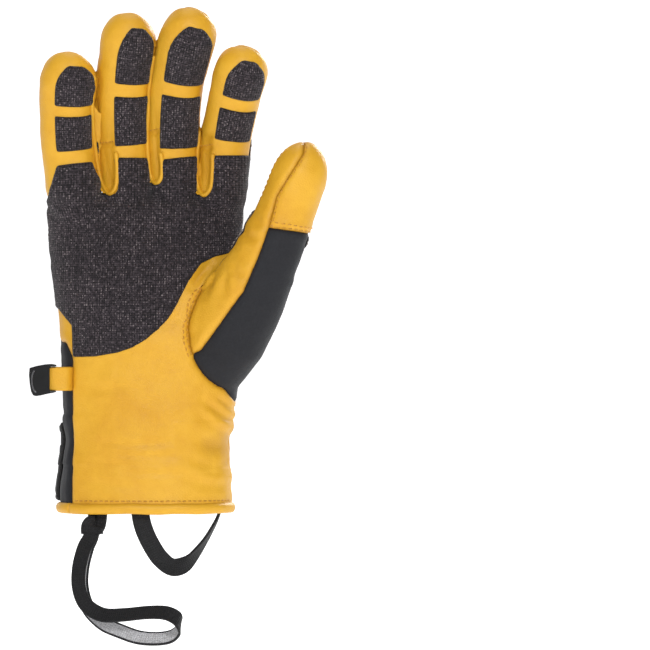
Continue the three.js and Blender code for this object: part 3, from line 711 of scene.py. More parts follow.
above = flat_distance(points, on_hand(*FINGER_BASE, (0.9, 3), (-0.9, 3)))
hand_zone = both(-above, -on_thumb)
zones = {}
knuckles = both(flat_distance(points, on_hand(*KNUCKLE_SEAM, *FINGER_BASE)), behind)
for name in FINGERS:
    space = spaces[name]
    others = np.min([spaces[other].far for other in FINGERS if other != name], axis=0)
    finger = both(above, space.far - others, -on_thumb)
    low, high = BACK_PANELS[name]
    root, panel, cap = (both(finger, space.band(start, stop, -0.8, 0.8, 1))
                        for start, stop in ((-0.06, low), (low, high), (high, 0.985)))
    zones[f"{name}_back_panel"], zones[f"{name}_cap"] = panel, cap
    zones[f"{name}_leather"] = both(finger, -root, -panel, -cap)
    knuckles = np.minimum(knuckles, root)
knuckles = both(knuckles, -on_thumb)
strip = flat_distance(points, SIDE_STRIP)
palm = both(in_front, -strip)
cuff = both(flat_distance(points, CUFF_PANEL), behind)
zones["knuckle_panel"] = knuckles
zones["palm_leather"] = both(hand_zone, palm, -knuckles)
zones["cuff_thumb_panel"] = both(hand_zone, cuff)
zones["back_softshell"] = both(hand_zone, -palm, -knuckles, -cuff)
turned = spaces["thumb"].v * spaces["thumb"].deep
thumb_front = both(turned, flat_distance(points, THUMB_LEATHER))
thumb_end = np.minimum(both(turned, flat_distance(points, THUMB_CAP_FRONT)),
                       both(-turned, flat_distance(points, THUMB_CAP_BACK)))
zones["thumb_leather"] = both(on_thumb, thumb_front)
zones["thumb_cap"] = both(on_thumb, thumb_end)
zones["thumb_softshell"] = both(on_thumb, -thumb_front, -thumb_end)

# The slit in the cuff's back is a panel that is left out.
SLIT_MIDDLE, SLIT_HALF, SLIT_TOP = 35.25, 1.75, 46
slit = np.where(y > 3, np.maximum(np.abs(x - SLIT_MIDDLE) - SLIT_HALF, z - SLIT_TOP), 3.0)
SLIT = len(PANELS)
fields = np.stack([both(zones[name], -slit) for name in PANELS] + [slit])
fields = np.clip(fields, -4, 4)
for _ in range(2):
    fields[:SLIT] = [row + 0.5 * (skin.mean(row) - row) for row in fields[:SLIT]]
label = fields[:, skin.quads].mean(axis=2).argmin(axis=0)
snap(skin, label, fields.copy())

edges, pairs = borders(skin, label)
names = PANELS + ["slit"]
# The palm's leather runs on into the fingers' without a groove.
seamless = [{names.index("palm_leather"), names.index(f"{name}_leather")} for name in FINGERS]
grooved = np.array([{i, j} not in seamless for i, j in pairs.tolist()])
seam_distance = distance_to(skin.verts, skin.verts[np.unique(edges[grooved])])

# Gold tongues between the fingers: each outline runs down one finger and up the next, in x and z
TONGUES = [
    [(-25.6, 219), (-26.8, 207), (-26.8, 195), (-26.0, 185), (-24.4, 173), (-22.2, 165), (-18.4, 160.0),
     (-14.9, 164.0), (-14.4, 173), (-15.0, 181)],
    [(4.2, 229), (1.8, 214), (1.2, 201), (0.4, 192), (0.5, 184), (1.4, 172), (2.8, 167.4), (5.2, 165.4),
     (7.8, 168), (8.2, 175), (7.4, 181)],
    [(26.8, 192), (26.2, 186), (25.6, 179), (25.0, 170), (26.3, 162.5), (29.4, 159.2), (32.8, 163),
     (33.6, 171), (33.8, 180)],
]
CROSS_SEAMS = [[(-25.4, 184), (-15.6, 184.6)], [(0.6, 190), (7.6, 191.2)], [(26, 182.4), (34.2, 183)]]


# Folds on the palm side and on the back: points in x and z, depth and width, all in millimetres
FRONT_FOLDS = [
    ([(30, 56), (38, 50), (52, 40)], 1.0, 2.0), ([(35, 59), (42, 53.5), (54, 46)], 0.9, 1.8),
    ([(27, 49), (34, 44), (46, 37)], 0.5, 2.4), ([(22, 27), (35, 22), (54, 26)], 0.7, 3.0),
    ([(18, 19), (31, 15), (50, 13)], 0.5, 2.6), ([(26, 34), (38, 33), (58, 33)], 1.5, 8.0),
    ([(-62, 37), (-42, 36), (-34, 36)], 1.0, 7.0), ([(-60, 11), (-42, 11), (-34, 12)], -0.6, 7.0),
    ([(-24, 36), (-6, 34), (12, 35.5)], 0.32, 1.8), ([(-18, 30), (2, 28.5), (22, 29.5)], 0.35, 1.8),
    ([(-26, 26), (-8, 24.5), (10, 25)], 0.28, 1.6), ([(-10, 21), (8, 20), (24, 21)], 0.25, 1.6),
    ([(-30, 16), (-16, 14), (-4, 14)], 0.3, 2.0), ([(-31, 63), (-20, 62), (-8, 64)], 0.35, 2.4),
    ([(33, 124), (28, 119), (24, 113)], 1.6, 2.2), ([(37, 122), (33, 116), (30, 109)], 1.2, 2.0),
    ([(41, 122), (40, 116), (40, 110)], 0.9, 2.0), ([(44, 126), (46, 121), (51, 117)], 0.9, 2.0),
    ([(47, 143), (52, 138), (60, 136)], 0.9, 2.2), ([(55, 150), (58, 144), (64, 141)], 0.6, 2.0),
    ([(-48, 158), (-43, 155), (-38, 155)], 0.8, 2.4), ([(-49, 128), (-42, 126), (-36, 127)], 0.6, 2.4),
    ([(-46, 142), (-20, 139), (6, 141), (30, 136)], 0.5, 3.4),
    ([(-40, 120), (-14, 124), (14, 122)], 0.4, 3.2),
    ([(-34, 108), (-10, 110), (20, 104)], 0.4, 3.0), ([(22, 101), (14, 96), (2, 93)], 0.4, 2.6),
    ([(27, 96), (24, 88), (25, 80)], 0.5, 2.4), ([(36, 92), (31, 86), (30, 78)], 0.5, 2.6),
    ([(-40, 176), (-33, 178)], 0.5, 2.0), ([(-8, 186), (-1, 187)], 0.4, 2.0),
    ([(15, 190), (23, 191)], 0.4, 2.0), ([(40, 188), (47, 187)], 0.5, 2.0),
]
BACK_FOLDS = [
    ([(38, 52), (14, 50), (-12, 49), (-40, 50)], 1.5, 2.2), ([(34, 62), (12, 59), (-14, 60)], 0.5, 3.0),
    ([(44, 98), (34, 90), (26, 78)], 0.9, 4.0), ([(52, 104), (42, 92), (38, 76)], 0.8, 4.0),
    ([(48, 120), (40, 114), (30, 112)], 0.9, 3.0), ([(-40, 84), (-30, 76), (-24, 64)], 0.5, 4.0),
    ([(20, 104), (4, 98), (-14, 99)], 0.4, 4.0), ([(-42, 112), (-34, 106), (-30, 98)], 0.5, 3.0),
    ([(-40, 150), (-30, 148), (-20, 149)], 0.4, 3.0), ([(-6, 152), (4, 151), (14, 153)], 0.4, 3.0),
    ([(24, 154), (34, 152)], 0.4, 2.6), ([(62, 112), (68, 118), (76, 121)], 0.7, 2.4),
    ([(70, 132), (76, 136), (84, 136)], 0.5, 2.2), ([(36, 24), (41, 22)], 0.9, 2.0),
    ([(36, 38), (42, 36)], 0.8, 2.2), ([(38, 12), (42, 11)], 0.6, 1.8),
]


def fold(points, line, width):
    """Profile of a fold at points in x and z: -1 in its bed, and slightly raised beside it."""
    far = np.full(len(points), 1e9)
    along = np.zeros(len(points))
    total = len(line) - 1
    for k, (a, b) in enumerate(zip(line, line[1:])):
        a, b = np.array(a, float), np.array(b, float)
        t = np.clip(((points - a) @ (b - a)) / ((b - a) @ (b - a)), 0, 1)
        d = np.linalg.norm(points - a - t[:, None] * (b - a), axis=1)
        closer = d < far
        far[closer] = d[closer]
        along[closer] = (k + t[closer]) / total
    fade = np.sin(np.pi * np.clip(along, 0.04, 0.96)) ** 0.6
    past = far / width
    return fade * (-np.exp(-past ** 2) + 0.45 * np.exp(-(past - 1.9) ** 2))


def tongue_depth(points, normals):
    """From 0 at a tongue's rim to 1 in its bed, fading out up the fingers."""
    deep = np.zeros(len(points))
    for outline in TONGUES:
        top = outline[0][1]
        line = np.array(outline + [(outline[-1][0] + 1.0, top)])
        near = (normals[:, 1] < 0.3) & (np.abs(points[:, 0] - line[:, 0].mean()) < 20) & (points[:, 2] > 150)
        inside = -flat_distance(points[near], line)
        fade = np.clip((204 - points[near][:, 2]) / 22, 0, 1)
        deep[near] = np.maximum(deep[near], np.clip(inside / 3.2, 0, 1) * fade)
    return deep


def relief(points, normals, seam):
    """How far the worn skin stands off the plain form at each point."""
    d = seam
    out = -0.75 * np.exp(-(d / 0.85) ** 2) + 0.32 * np.exp(-((d - 3.4) / 2.2) ** 2)
    flat = points[:, [0, 2]]
    for folds, facing in ((FRONT_FOLDS, normals[:, 1] < 0.25), (BACK_FOLDS, normals[:, 1] > -0.25)):
        for line, depth, width in folds:
            low, high = np.min(line, axis=0) - 12, np.max(line, axis=0) + 12
            near = facing & np.all((flat > low) & (flat < high), axis=1)
            out[near] += depth * fold(flat[near], line, width)
    for line in CROSS_SEAMS:
        near = (normals[:, 1] < 0.3) & (np.abs(flat - np.mean(line, axis=0)) < 12).all(axis=1)
        out[near] += 0.9 * fold(flat[near], line, 1.1)
    out -= 2.0 * tongue_depth(points, normals)
    for i, p in enumerate(points.tolist()):
        v = Vector(p)
        out[i] += 0.42 * noise.noise(v / 17) + 0.2 * noise.noise(v / 7) + 0.07 * noise.noise(v / 2.6)
    return out


plain_verts = skin.verts.copy()
base_normal = skin.normals()
stand_off = relief(skin.verts, base_normal, seam_distance)
skin.verts = plain_verts + stand_off[:, None] * base_normal
# The thumb's leather folds over the crotch beside the palm.
crotch = np.linalg.norm((plain_verts - (31.5, -6, 119)) / (7, 12, 10), axis=1)
on_leather = np.isin(np.arange(len(plain_verts)), skin.quads[label == PANELS.index("thumb_leather")])
bulge = np.clip(1 - crotch, 0, 1) ** 0.7 * on_leather
skin.verts += bulge[:, None] * np.array((-5.0, -1.0, 1.5))
normal = skin.normals()
skin_tree = skin.tree()


def boundary(part):
    """Directed edges round the open sides of a skin."""
    keys = {tuple(e) for e in part.edges[part.edge_faces[:, 1] < 0].tolist()}
    return [(a, b) for k in range(4) for a, b in part.quads[:, [k, (k + 1) % 4]].tolist()
            if (min(a, b), max(a, b)) in keys]


def two_layers(name, part, outer, inner, materials, seam, uv=None):
    """A sheet with an outer and an inner layer, closed round its open sides."""
    count = len(part.verts)
    rim = [(b, a, a + count, b + count) for a, b in boundary(part)]
    faces = np.concatenate([part.quads, part.quads[:, ::-1] + count, np.array(rim).reshape(-1, 4)])
    slots = np.repeat([0, 1, 0], [len(part.quads), len(part.quads), len(rim)])
    obj = mesh_object(name, np.concatenate([outer, inner]), faces, materials, slots, uv)
    # The seam attribute carries painted shade, which the materials darken the colour by
    layer = obj.data.attributes.new("seam", "FLOAT", "POINT")
    layer.data.foreach_set("value", np.concatenate([seam, seam]).astype(np.float32))
    return obj


# Painted shade for the panels: darker beside grooved seams, in the beds of deep folds and in the tongues'
# beds
shade = np.clip(1 - seam_distance / 1.6, 0, 1) ** 1.5
fold_shade = np.clip(-stand_off - 0.45, 0, 1) * 0.6
shade = np.clip(np.maximum(shade, fold_shade), 0, 1)
in_tongue = tongue_depth(plain_verts, base_normal)
shade = np.where(in_tongue > 0, np.maximum(0.3 * in_tongue, shade * 0.5), shade)
for i, name in enumerate(PANELS):
    centre_z = plain_verts[skin.quads][:, :, 2].mean(axis=1)
    part, used = skin.part((label == i) & (centre_z > HEM_CUT))
    material = SOFTSHELL if name in SOFT_PANELS else GOLD
    inner = part.verts - WALL * normal[used]
    obj = two_layers(f"{name}_skin", part, part.verts, inner, [material, LINING], shade[used])
    place(obj, "softshell" if name in SOFT_PANELS else "leather", name)


# Knit patches and other layers sewn onto the skin

def overlay(name, field, height, material, slot, lift=None, unwrap=None):
    """A layer over the skin where the field is below 0, with its edge rolled down, for a CAD node."""
    copy = Skin(skin.verts.copy(), skin.quads)
    keep = field[skin.quads].mean(axis=1) < 0
    snap(copy, keep.astype(int), {0: -field, 1: field}, rounds=1)
    part, used = copy.part(keep)
    rim = np.unique(np.array(boundary(part)).ravel())
    away = distance_to(part.verts, part.verts[rim])
    n = normal[used]
    rise = height * (0.45 + 0.55 * (1 - np.exp(-(away / 0.8) ** 2)))
    rise += 0.18 * height * np.exp(-((away - 1.4) / 0.8) ** 2)
    extra = np.zeros_like(part.verts) if lift is None else lift(part.verts)
    outer = part.verts + rise[:, None] * n + extra
    inner = part.verts + 0.08 * n + extra * 0.9
    # Painted shade: the layer darkens towards its edge, where it meets the skin
    seam = np.clip(1 - away / 1.2, 0, 1)
    uv = None if unwrap is None else np.tile(unwrap(plain_verts[used]), (2, 1))
    obj = two_layers(f"{name}_layer", part, outer, inner, [material, material], seam, uv)
    place(obj, slot, name)
    return part, outer


def unwrap_digit(name, facing):
    """Maps points to millimetres round and along a digit, from the middle of its front (-1) or back (1)."""
    d = DIGITS[name]
    frames = [digit_frame(d, along) for along in np.linspace(0, 1, 40)]
    centres, ahead, across, back = (np.array([f[k] for f in frames]) for k in range(4))

    def unwrap(points):
        nearest = np.linalg.norm(points[:, None] - centres[None], axis=2).argmin(axis=1)
        away = points - centres[nearest]
        side, rear, along = ((away * rows[nearest]).sum(axis=1) for rows in (across, back, ahead))
        length = nearest * d[3] / (len(frames) - 1) + along
        return np.stack([np.arctan2(side, facing * rear) * 0.5 * d[4], length], axis=1)

    return unwrap


def unwrap_hand(points):
    """Maps points to millimetres round the hand, from the middle of the palm, and up it."""
    x, y, z = points.T
    _, right, front, back = hand_half(z / HAND_HEIGHT)
    depth = np.clip((y - front) / (back - front), 0, 1)
    share = np.clip((depth - 0.35) / 0.3, 0, 1)
    share = share * share * (3 - 2 * share)
    return np.stack([np.where(x > 0, x + share * 2 * (right - x), x) + depth * 18 * np.sign(x), z], axis=1)


layers = {}
for name in FINGERS:
    edge, tip, lower = PATCHES[name]
    for node, (start, stop) in ((f"{name}_tip_patch", tip), (f"{name}_lower_patch", lower)):
        field = spaces[name].band(start, stop, edge, 0.93, -1, node.endswith("tip_patch"))
        layers[node] = overlay(node, both(field, zones[f"{name}_leather"]), 1.0, KNIT, "knit",
                               unwrap=unwrap_digit(name, -1))
field = both(flat_distance(points, THUMB_PATCH), -turned, on_thumb + 1.2)
layers["thumb_patch"] = overlay("thumb_patch", field, 0.8, KNIT, "knit", unwrap=unwrap_digit("thumb", 1))
field = np.minimum(both(flat_distance(points, PALM_PATCH_FRONT), in_front),
                   both(flat_distance(points, PALM_PATCH_BACK), behind - 1))
field = both(field, 0.6 - on_thumb)
layers["palm_patch"] = overlay("palm_patch", field, 1.1, KNIT, "knit", unwrap=unwrap_hand)


def flare(points):
    """The flap's free end stands off the cuff at the little finger's side."""
    past = np.clip((-points[:, 0] - 26) / 18, 0, 1) ** 2
    out = np.zeros_like(points)
    out[:, 0] = -1.0 * past
    out[:, 1] = 2.6 * past * np.clip((45 - points[:, 2]) / 30, 0.2, 1)
    return out


FLAP_LOW, FLAP_HIGH = 5.6, 45
slit_edge = SLIT_MIDDLE - SLIT_HALF
field = both(x - slit_edge, z - FLAP_HIGH, FLAP_LOW - z, behind + np.where(x < 0, 4.5, 1))
layers["closure_flap"] = overlay("closure_flap", field, 2.3, FLAP, "flap_cloth", flare)
field = both(flat_distance(points, SLIT_LOOP), behind + 1)
layers["slit_loop"] = overlay("slit_loop", field, 2.0, GOLD, "leather")


# Stitches

# Along in shares of a stitch's length, size and height
STITCH = [(-0.5, 0.35, -0.3), (-0.34, 0.95, 0.05), (0.0, 1.0, 0.16), (0.34, 0.95, 0.05), (0.5, 0.35, -0.3)]
STITCHES = {"gold_stitches": ([], []), "dark_stitches": ([], []), "pale_stitches": ([], [])}


def add_stitches(group, line, tree, length=2.1, radius=0.3, rise=0.12):
    """Short threads along a polyline on a surface: each dips into the cloth at both ends."""
    verts, faces = STITCHES[group]
    line, normals = on_skin(line, tree)
    for k in range(len(line) - 1):
        a, b = line[k], line[k + 1]
        pitch = np.linalg.norm(b - a)
        if pitch < 1e-6:
            continue
        t = (b - a) / pitch
        n = normals[k] - t * (normals[k] @ t)
        n /= max(1e-9, np.linalg.norm(n))
        s = np.cross(t, n)
        middle = (a + b) / 2
        start = len(verts)
        for share, size, height in STITCH:
            centre = middle + t * share * min(length, 0.8 * pitch) + n * (rise + height)
            for side in range(6):
                angle = math.pi * side / 3
                verts.append(centre + radius * size * (math.cos(angle) * s + math.sin(angle) * n))
        faces += ring_faces(len(STITCH), 6, start)


def on_skin(points, tree):
    """The nearest points of a surface and its normals there."""
    hits = [tree.find_nearest(Vector(p)) for p in points]
    return np.array([hit[0] for hit in hits]), np.array([hit[1] for hit in hits])


def row(group, line, offset, way, tree, pitch=3.0, **looks):
    """A row of stitches beside a polyline, offset to the side that the direction way points to."""
    line = resampled(line, pitch / 2, 4)
    _, normals = on_skin(line, tree)
    tangents = np.gradient(line, axis=0)
    sides = np.cross(normals, tangents)
    sides /= np.maximum(1e-9, np.linalg.norm(sides, axis=1))[:, None]
    if (sides @ way).sum() < 0:
        sides = -sides
    add_stitches(group, resampled(line + offset * sides, pitch, 2), tree, **looks)


def seam_lines(first, second, shortest=8.0):
    """The seams between two panels as polylines."""
    chosen = np.all(np.sort(pairs, axis=1) == sorted((names.index(first), names.index(second))), axis=1)
    seams = [skin.verts[line] for line in chains(edges[chosen])]
    return [line for line in seams if np.linalg.norm(np.diff(line, axis=0), axis=1).sum() > shortest]


def beside(first, second, offsets, group="gold_stitches", where=None, pitch=3.0, **looks):
    """Rows of stitches on the first panel, beside its seam with the second."""
    faces = skin.quads[label == names.index(first)]
    centres = skin.verts[faces].mean(axis=1)
    for line in seam_lines(first, second):
        if where is not None:
            line = line[where(line)]
            if len(line) < 5:
                continue
        middle = line[len(line) // 2]
        nearby = centres[np.argsort(((centres - middle) ** 2).sum(axis=1))[:60]].mean(axis=0)
        for offset in offsets:
            row(group, line, offset, nearby - middle, skin_tree, pitch, **looks)


for name in FINGERS:
    beside(f"{name}_cap", f"{name}_back_panel", (1.7, 4.0))
    beside("knuckle_panel", f"{name}_back_panel", (1.7, 4.2))
beside("knuckle_panel", "back_softshell", (1.8, 5.2))
beside("cuff_thumb_panel", "back_softshell", (1.6, 3.8), where=lambda p: p[:, 2] > 50)
beside("thumb_cap", "thumb_softshell", (1.7, 3.6))
beside("thumb_cap", "thumb_leather", (1.8,))
beside("palm_leather", "thumb_leather", (1.8, 4.0))
beside("palm_leather", "back_softshell", (1.8,), where=lambda p: p[:, 0] > 20)


def polyline_row(group, flat, facing, offset=0.0, pitch=3.0, **looks):
    """A row along points in x and z, laid on the front (-1) or the back (1) of the glove."""
    dense = resampled([(x, 0.0, z) for x, z in flat], 1.0, 2)
    points = []
    for x, _, z in dense:
        hit = skin_tree.ray_cast(Vector((x, 90.0 * facing, z + offset)), Vector((0, -facing, 0)))
        if hit[0] is not None:
            points.append(tuple(hit[0]))
    if len(points) > 3:
        add_stitches(group, resampled(points, pitch, 3), skin_tree, **looks)


KNUCKLE_LINE = [(-44, 132.5), (-30, 135), (-6, 137.5), (16, 139.5), (27, 140)]
for drop in (0.0, 3.2):
    polyline_row("gold_stitches", KNUCKLE_LINE, 1, drop)
for line in CROSS_SEAMS:
    polyline_row("gold_stitches", line, -1, 1.7, 2.2, radius=0.24)
for x0, x1, facing in ((-35, 42, -1), (-40, 33, 1)):
    polyline_row("gold_stitches", [(x, 6.4) for x in np.linspace(x0, x1, 12)], facing, pitch=2.8)


def edge_row(node, group, inset, where=None, pitch=2.6, **looks):
    """Stitches just inside the edge of a layer."""
    part, outer = layers[node]
    tree = Skin(outer, part.quads).tree()
    open_edges = part.edges[part.edge_faces[:, 1] < 0]
    faces = part.verts[part.quads].mean(axis=1)
    for line in chains(open_edges):
        points = outer[line]
        flags = np.ones(len(points), dtype=bool) if where is None else where(points)
        runs = np.split(np.arange(len(points)), np.nonzero(np.diff(flags.astype(int)))[0] + 1)
        for run in runs:
            if len(run) < 8 or not flags[run[0]]:
                continue
            piece = resampled(points[run], 1.5, 4)
            inner = []
            for p in piece:
                near = faces[np.argsort(((faces - p) ** 2).sum(axis=1))[:14]].mean(axis=0)
                step = near - p
                inner.append(p + step / max(1e-6, np.linalg.norm(step)) * inset)
            add_stitches(group, resampled(inner, pitch, 4), tree, **looks)


edge_row("palm_patch", "pale_stitches", 1.5, lambda p: p[:, 1] > 12, radius=0.22)
edge_row("thumb_patch", "pale_stitches", 1.5, radius=0.22)
edge_row("slit_loop", "gold_stitches", 1.6, lambda p: p[:, 2] > 48)
edge_row("closure_flap", "dark_stitches", 2.2, radius=0.25)


# Rolled rims of the tongues, and a web behind each

def tube(points, radius, sides=8, flatten=1.0, normals=None):
    """Vertices and quads of a closed tube along a polyline."""
    points = np.asarray(points)
    tangents = np.gradient(points, axis=0)
    tangents /= np.linalg.norm(tangents, axis=1)[:, None]
    verts = []
    for k, (p, t) in enumerate(zip(points, tangents)):
        n = normals[k] - t * (normals[k] @ t)
        n /= np.linalg.norm(n)
        s = np.cross(t, n)
        end = 0.35 if k in (0, len(points) - 1) else 1.0
        for a in (2 * math.pi * side / sides for side in range(sides)):
            verts.append(p + end * radius * (math.cos(a) * s + flatten * math.sin(a) * n))
    return verts, ring_faces(len(points), sides)


def on_front(flat):
    """Points of the palm side at places in x and z, evened out."""
    hits = []
    for x_, z_ in flat:
        hit = skin_tree.ray_cast(Vector((x_, -90, z_)), Vector((0, 1, 0)))
        hits.append(hit[0].y if hit[0] is not None else np.nan)
    hits = np.array(hits)
    known = ~np.isnan(hits)
    hits = np.interp(np.arange(len(hits)), np.nonzero(known)[0], hits[known])
    for _ in range(14):
        hits[1:-1] = 0.5 * hits[1:-1] + 0.25 * (hits[:-2] + hits[2:])
    return np.stack([flat[:, 0], hits, flat[:, 1]], axis=1)


for number, flat in enumerate(TONGUES):
    dense = catmull(flat, 9)
    line = resampled(on_front(dense), 0.8, 3)
    _, normals = on_skin(line, skin_tree)
    facing = np.tile((0.0, -1.0, 0.0), (len(line), 1))
    verts, faces = tube(line + 0.5 * facing, 1.15, 10, 1.0, facing)
    lowest = int(line[:, 2].argmin())
    start = len(verts)
    levels = np.linspace(line[lowest][2] + 0.3, line[0][2] - 6, 24)
    left_leg, right_leg = line[:lowest + 1][::-1], line[lowest:]
    columns = 9
    for up, level in zip(np.linspace(0, 1, len(levels)), levels):
        held = min(level, line[-1][2])
        a, b, c = (np.array([np.interp(at, leg[:, 2], leg[:, k]) for k in range(3)])
                   for at, leg in ((level, left_leg), (held, right_leg), (held, left_leg)))
        a, b = a - (2.6, 0, 0), b + (a - c) + (0.9, 0, 0)
        for share in np.linspace(0, 1, columns):
            dip = 3.2 * math.sin(math.pi * share) * min(1, (level - levels[0]) / 8 + 0.15)
            sunk = (level - held) * (0.06 + 0.5 * share)
            drop = 52 * share * (1 - share) * up ** 3
            verts.append(a + (b - a) * share + np.array((0, dip + sunk - 0.1, -drop)))
    for r in range(len(levels) - 1):
        for corner in range(start + r * columns, start + (r + 1) * columns - 1):
            faces.append((corner, corner + 1, corner + columns + 1, corner + columns))
    place(mesh_object(f"tongue_{number + 1}", verts, faces, [GOLD]), "leather")


# Rolled hems

def sweep(name, centres, outs, section, material, slot, *nodes):
    """A closed section carried along a line on the cuff: section rows are out and up in millimetres."""
    section = np.array(section)
    middle = section.mean(axis=0)
    verts = []
    for k, (centre, out) in enumerate(zip(centres, outs)):
        end = 0.55 if k in (0, len(centres) - 1) else 1.0
        for o, u in middle + (section - middle) * end:
            verts.append((centre[0] + out[0] * o, centre[1] + out[1] * o, centre[2] + u))
    obj = mesh_object(name, verts, ring_faces(len(centres), len(section)), [material])
    return place(obj, slot, *nodes)


def hem_line(start, stop, count):
    """Points of the cuff's outline at the mouth between two turns in degrees, and their outward ways."""
    points = np.array([hand_point(0.0, math.radians(a)) for a in np.linspace(start, stop, count)])
    tangents = np.gradient(points, axis=0)
    outs = np.stack([tangents[:, 1], -tangents[:, 0], np.zeros(count)], axis=1)
    outs /= np.linalg.norm(outs, axis=1)[:, None]
    points[:, 2] += np.array([0.35 * noise.noise(Vector(p) / 14) for p in points])
    wave = np.array([0.4 * noise.noise(Vector(p) / 9 + Vector((5, 0, 0))) for p in points])
    return points + outs * wave[:, None], outs


def turn_at(x, back):
    """The turn in degrees where the cuff's outline has this x, in front or at the back."""
    turns = np.linspace(0, 180, 721) if back else np.linspace(180, 360, 721)
    return turns[np.argmin([abs(hand_point(0, math.radians(a))[0] - x) for a in turns])]


# Out and up: a soft roll outside, the lining side flatter
HEM = [(1.5, 0.8), (1.9, 1.9), (1.9, 3.2), (1.45, 4.3), (0.4, 5.1), (-0.8, 5.2), (-2.2, 4.9), (-2.7, 3.8),
       (-2.7, 2.2), (-2.4, 0.9), (-1.5, 0.1), (-0.2, -0.15), (0.8, 0.1)]
HEM_JOIN, HEM_END, BACK_HEM_END = -36.5, 36.9, 33.6
left_front, right_back = turn_at(HEM_JOIN, False), turn_at(HEM_END, True)
slit_back = turn_at(BACK_HEM_END, True)
line, outs = hem_line(left_front, 360 + right_back, 220)
sweep("palm_hem_roll", line, outs, HEM, GOLD, "leather", "palm_hem")
line, outs = hem_line(slit_back, left_front - 0.5, 160)
sweep("back_hem_roll", line, outs, HEM, GOLD, "leather", "back_hem")


# Clip on the side tab

# Outline of the clip in x and z: a body with two lips that hold the tab
CLIP_OUTLINE = [
    (-57.3, 72.6), (-53.5, 73.7), (-49.5, 74.4), (-46.6, 74.6), (-44.6, 74.3), (-43.9, 73.6), (-44.6, 73.2),
    (-46.9, 73.2), (-47.3, 72.6), (-47.3, 61.7), (-46.7, 61.2), (-44.4, 61.1), (-44.2, 60.6), (-45.4, 60.2),
    (-48.6, 59.6), (-52.0, 58.8), (-54.2, 58.5), (-55.6, 59.0), (-56.6, 61.0), (-57.2, 64.5), (-57.6, 69.0),
]
# Ridge along the clip's free edge, in x and z
CLIP_RIDGE_LINE = [(-54.8, 71.6), (-55.9, 69.2), (-56.1, 65.5), (-55.2, 61.8), (-53.9, 60.4)]


def soften(obj, width, segments):
    """Rounds the sharp edges of a mesh."""
    bevel = obj.modifiers.new("bevel", "BEVEL")
    bevel.width = width * MM
    bevel.segments = segments
    bevel.limit_method = "ANGLE"
    bevel.angle_limit = math.radians(28)
    evaluated = obj.evaluated_get(bpy.context.evaluated_depsgraph_get())
    final = bpy.data.meshes.new_from_object(evaluated)
    obj.modifiers.clear()
    obj.data = final
    final.polygons.foreach_set("use_smooth", [len(face.vertices) < 5 for face in final.polygons])


clip_ys = [vertex.co.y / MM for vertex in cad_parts["side_clip"].data.vertices]
low, high = min(clip_ys), max(clip_ys)
count = len(CLIP_OUTLINE)
verts = [(x_, y_, z_) for y_ in (low, high) for x_, z_ in CLIP_OUTLINE]
faces = [tuple(range(count)), tuple(range(2 * count - 1, count - 1, -1))]
faces += [(k, k + count, (k + 1) % count + count, (k + 1) % count) for k in range(count)]
moulding = mesh_object("side_clip_moulding", verts, faces, [CLIP])
soften(moulding, 0.55, 3)
place(moulding, "clip_plastic", "side_clip")
# A raised ridge along the clip's free edge, in paler plastic that is a painted highlight
ridge = catmull([(x_, low, z_) for x_, z_ in CLIP_RIDGE_LINE], 6)
verts, faces = tube(ridge, 0.5, 8, 1.2, np.tile((0.0, -1.0, 0.0), (len(ridge), 1)))
place(mesh_object("side_clip_ridge", verts, faces, [CLIP_RIDGE_HIGHLIGHT]), "clip_plastic")


# Straps

def tape(name, rows_, drop, width, thick, materials, slot, node):
    """A woven ribbon through rows of across, back, down, turn, lift, wide and thick."""
    fine = catmull(rows_, 8)
    points = np.stack([fine[:, 0] * PALM_WIDTH, fine[:, 1] * PALM_DEPTH, -fine[:, 2] * drop], axis=1)
    tangents = np.gradient(points, axis=0)
    tangents /= np.linalg.norm(tangents, axis=1)[:, None]
    along = np.concatenate([[0], np.cumsum(np.linalg.norm(np.diff(points, axis=0), axis=1))])
    turn, lift = np.radians(fine[:, 3]), np.radians(fine[:, 4])
    face = np.stack([np.cos(turn) * np.cos(lift), np.sin(turn) * np.cos(lift), np.sin(lift)], axis=1)
    side = np.cross(face, tangents)
    side /= np.linalg.norm(side, axis=1)[:, None]
    out = np.cross(tangents, side)
    # Across and out in shares, and the material's number
    section = [(-1, -0.2, 0), (-0.97, 0.62, 0), (-0.88, 1.0, 0), (-0.8, 0.9, 0), (-0.4, 0.86, 0),
               (0, 0.86, 0), (0.4, 0.86, 0), (0.8, 0.9, 0), (0.88, 1.0, 0), (0.97, 0.62, 0), (1, -0.2, 0),
               (0.97, -0.62, 1), (0.88, -1.0, 1), (0.8, -0.9, 1), (0, -0.86, 1), (-0.8, -0.9, 1),
               (-0.88, -1.0, 1), (-0.97, -0.62, 1)]
    verts, uv = [], []
    for k in range(len(points)):
        wide, deep = side[k] * width / 2 * fine[k, 5], out[k] * thick / 2 * fine[k, 6]
        for u, v, _ in section:
            verts.append(points[k] + wide * u + deep * v)
            uv.append((u * width / 2, along[k]))
    slots = [s[2] for s in section] * (len(points) - 1) + [0, 0]
    obj = mesh_object(name, verts, ring_faces(len(points), len(section)), materials, slots, uv)
    return place(obj, slot, node)


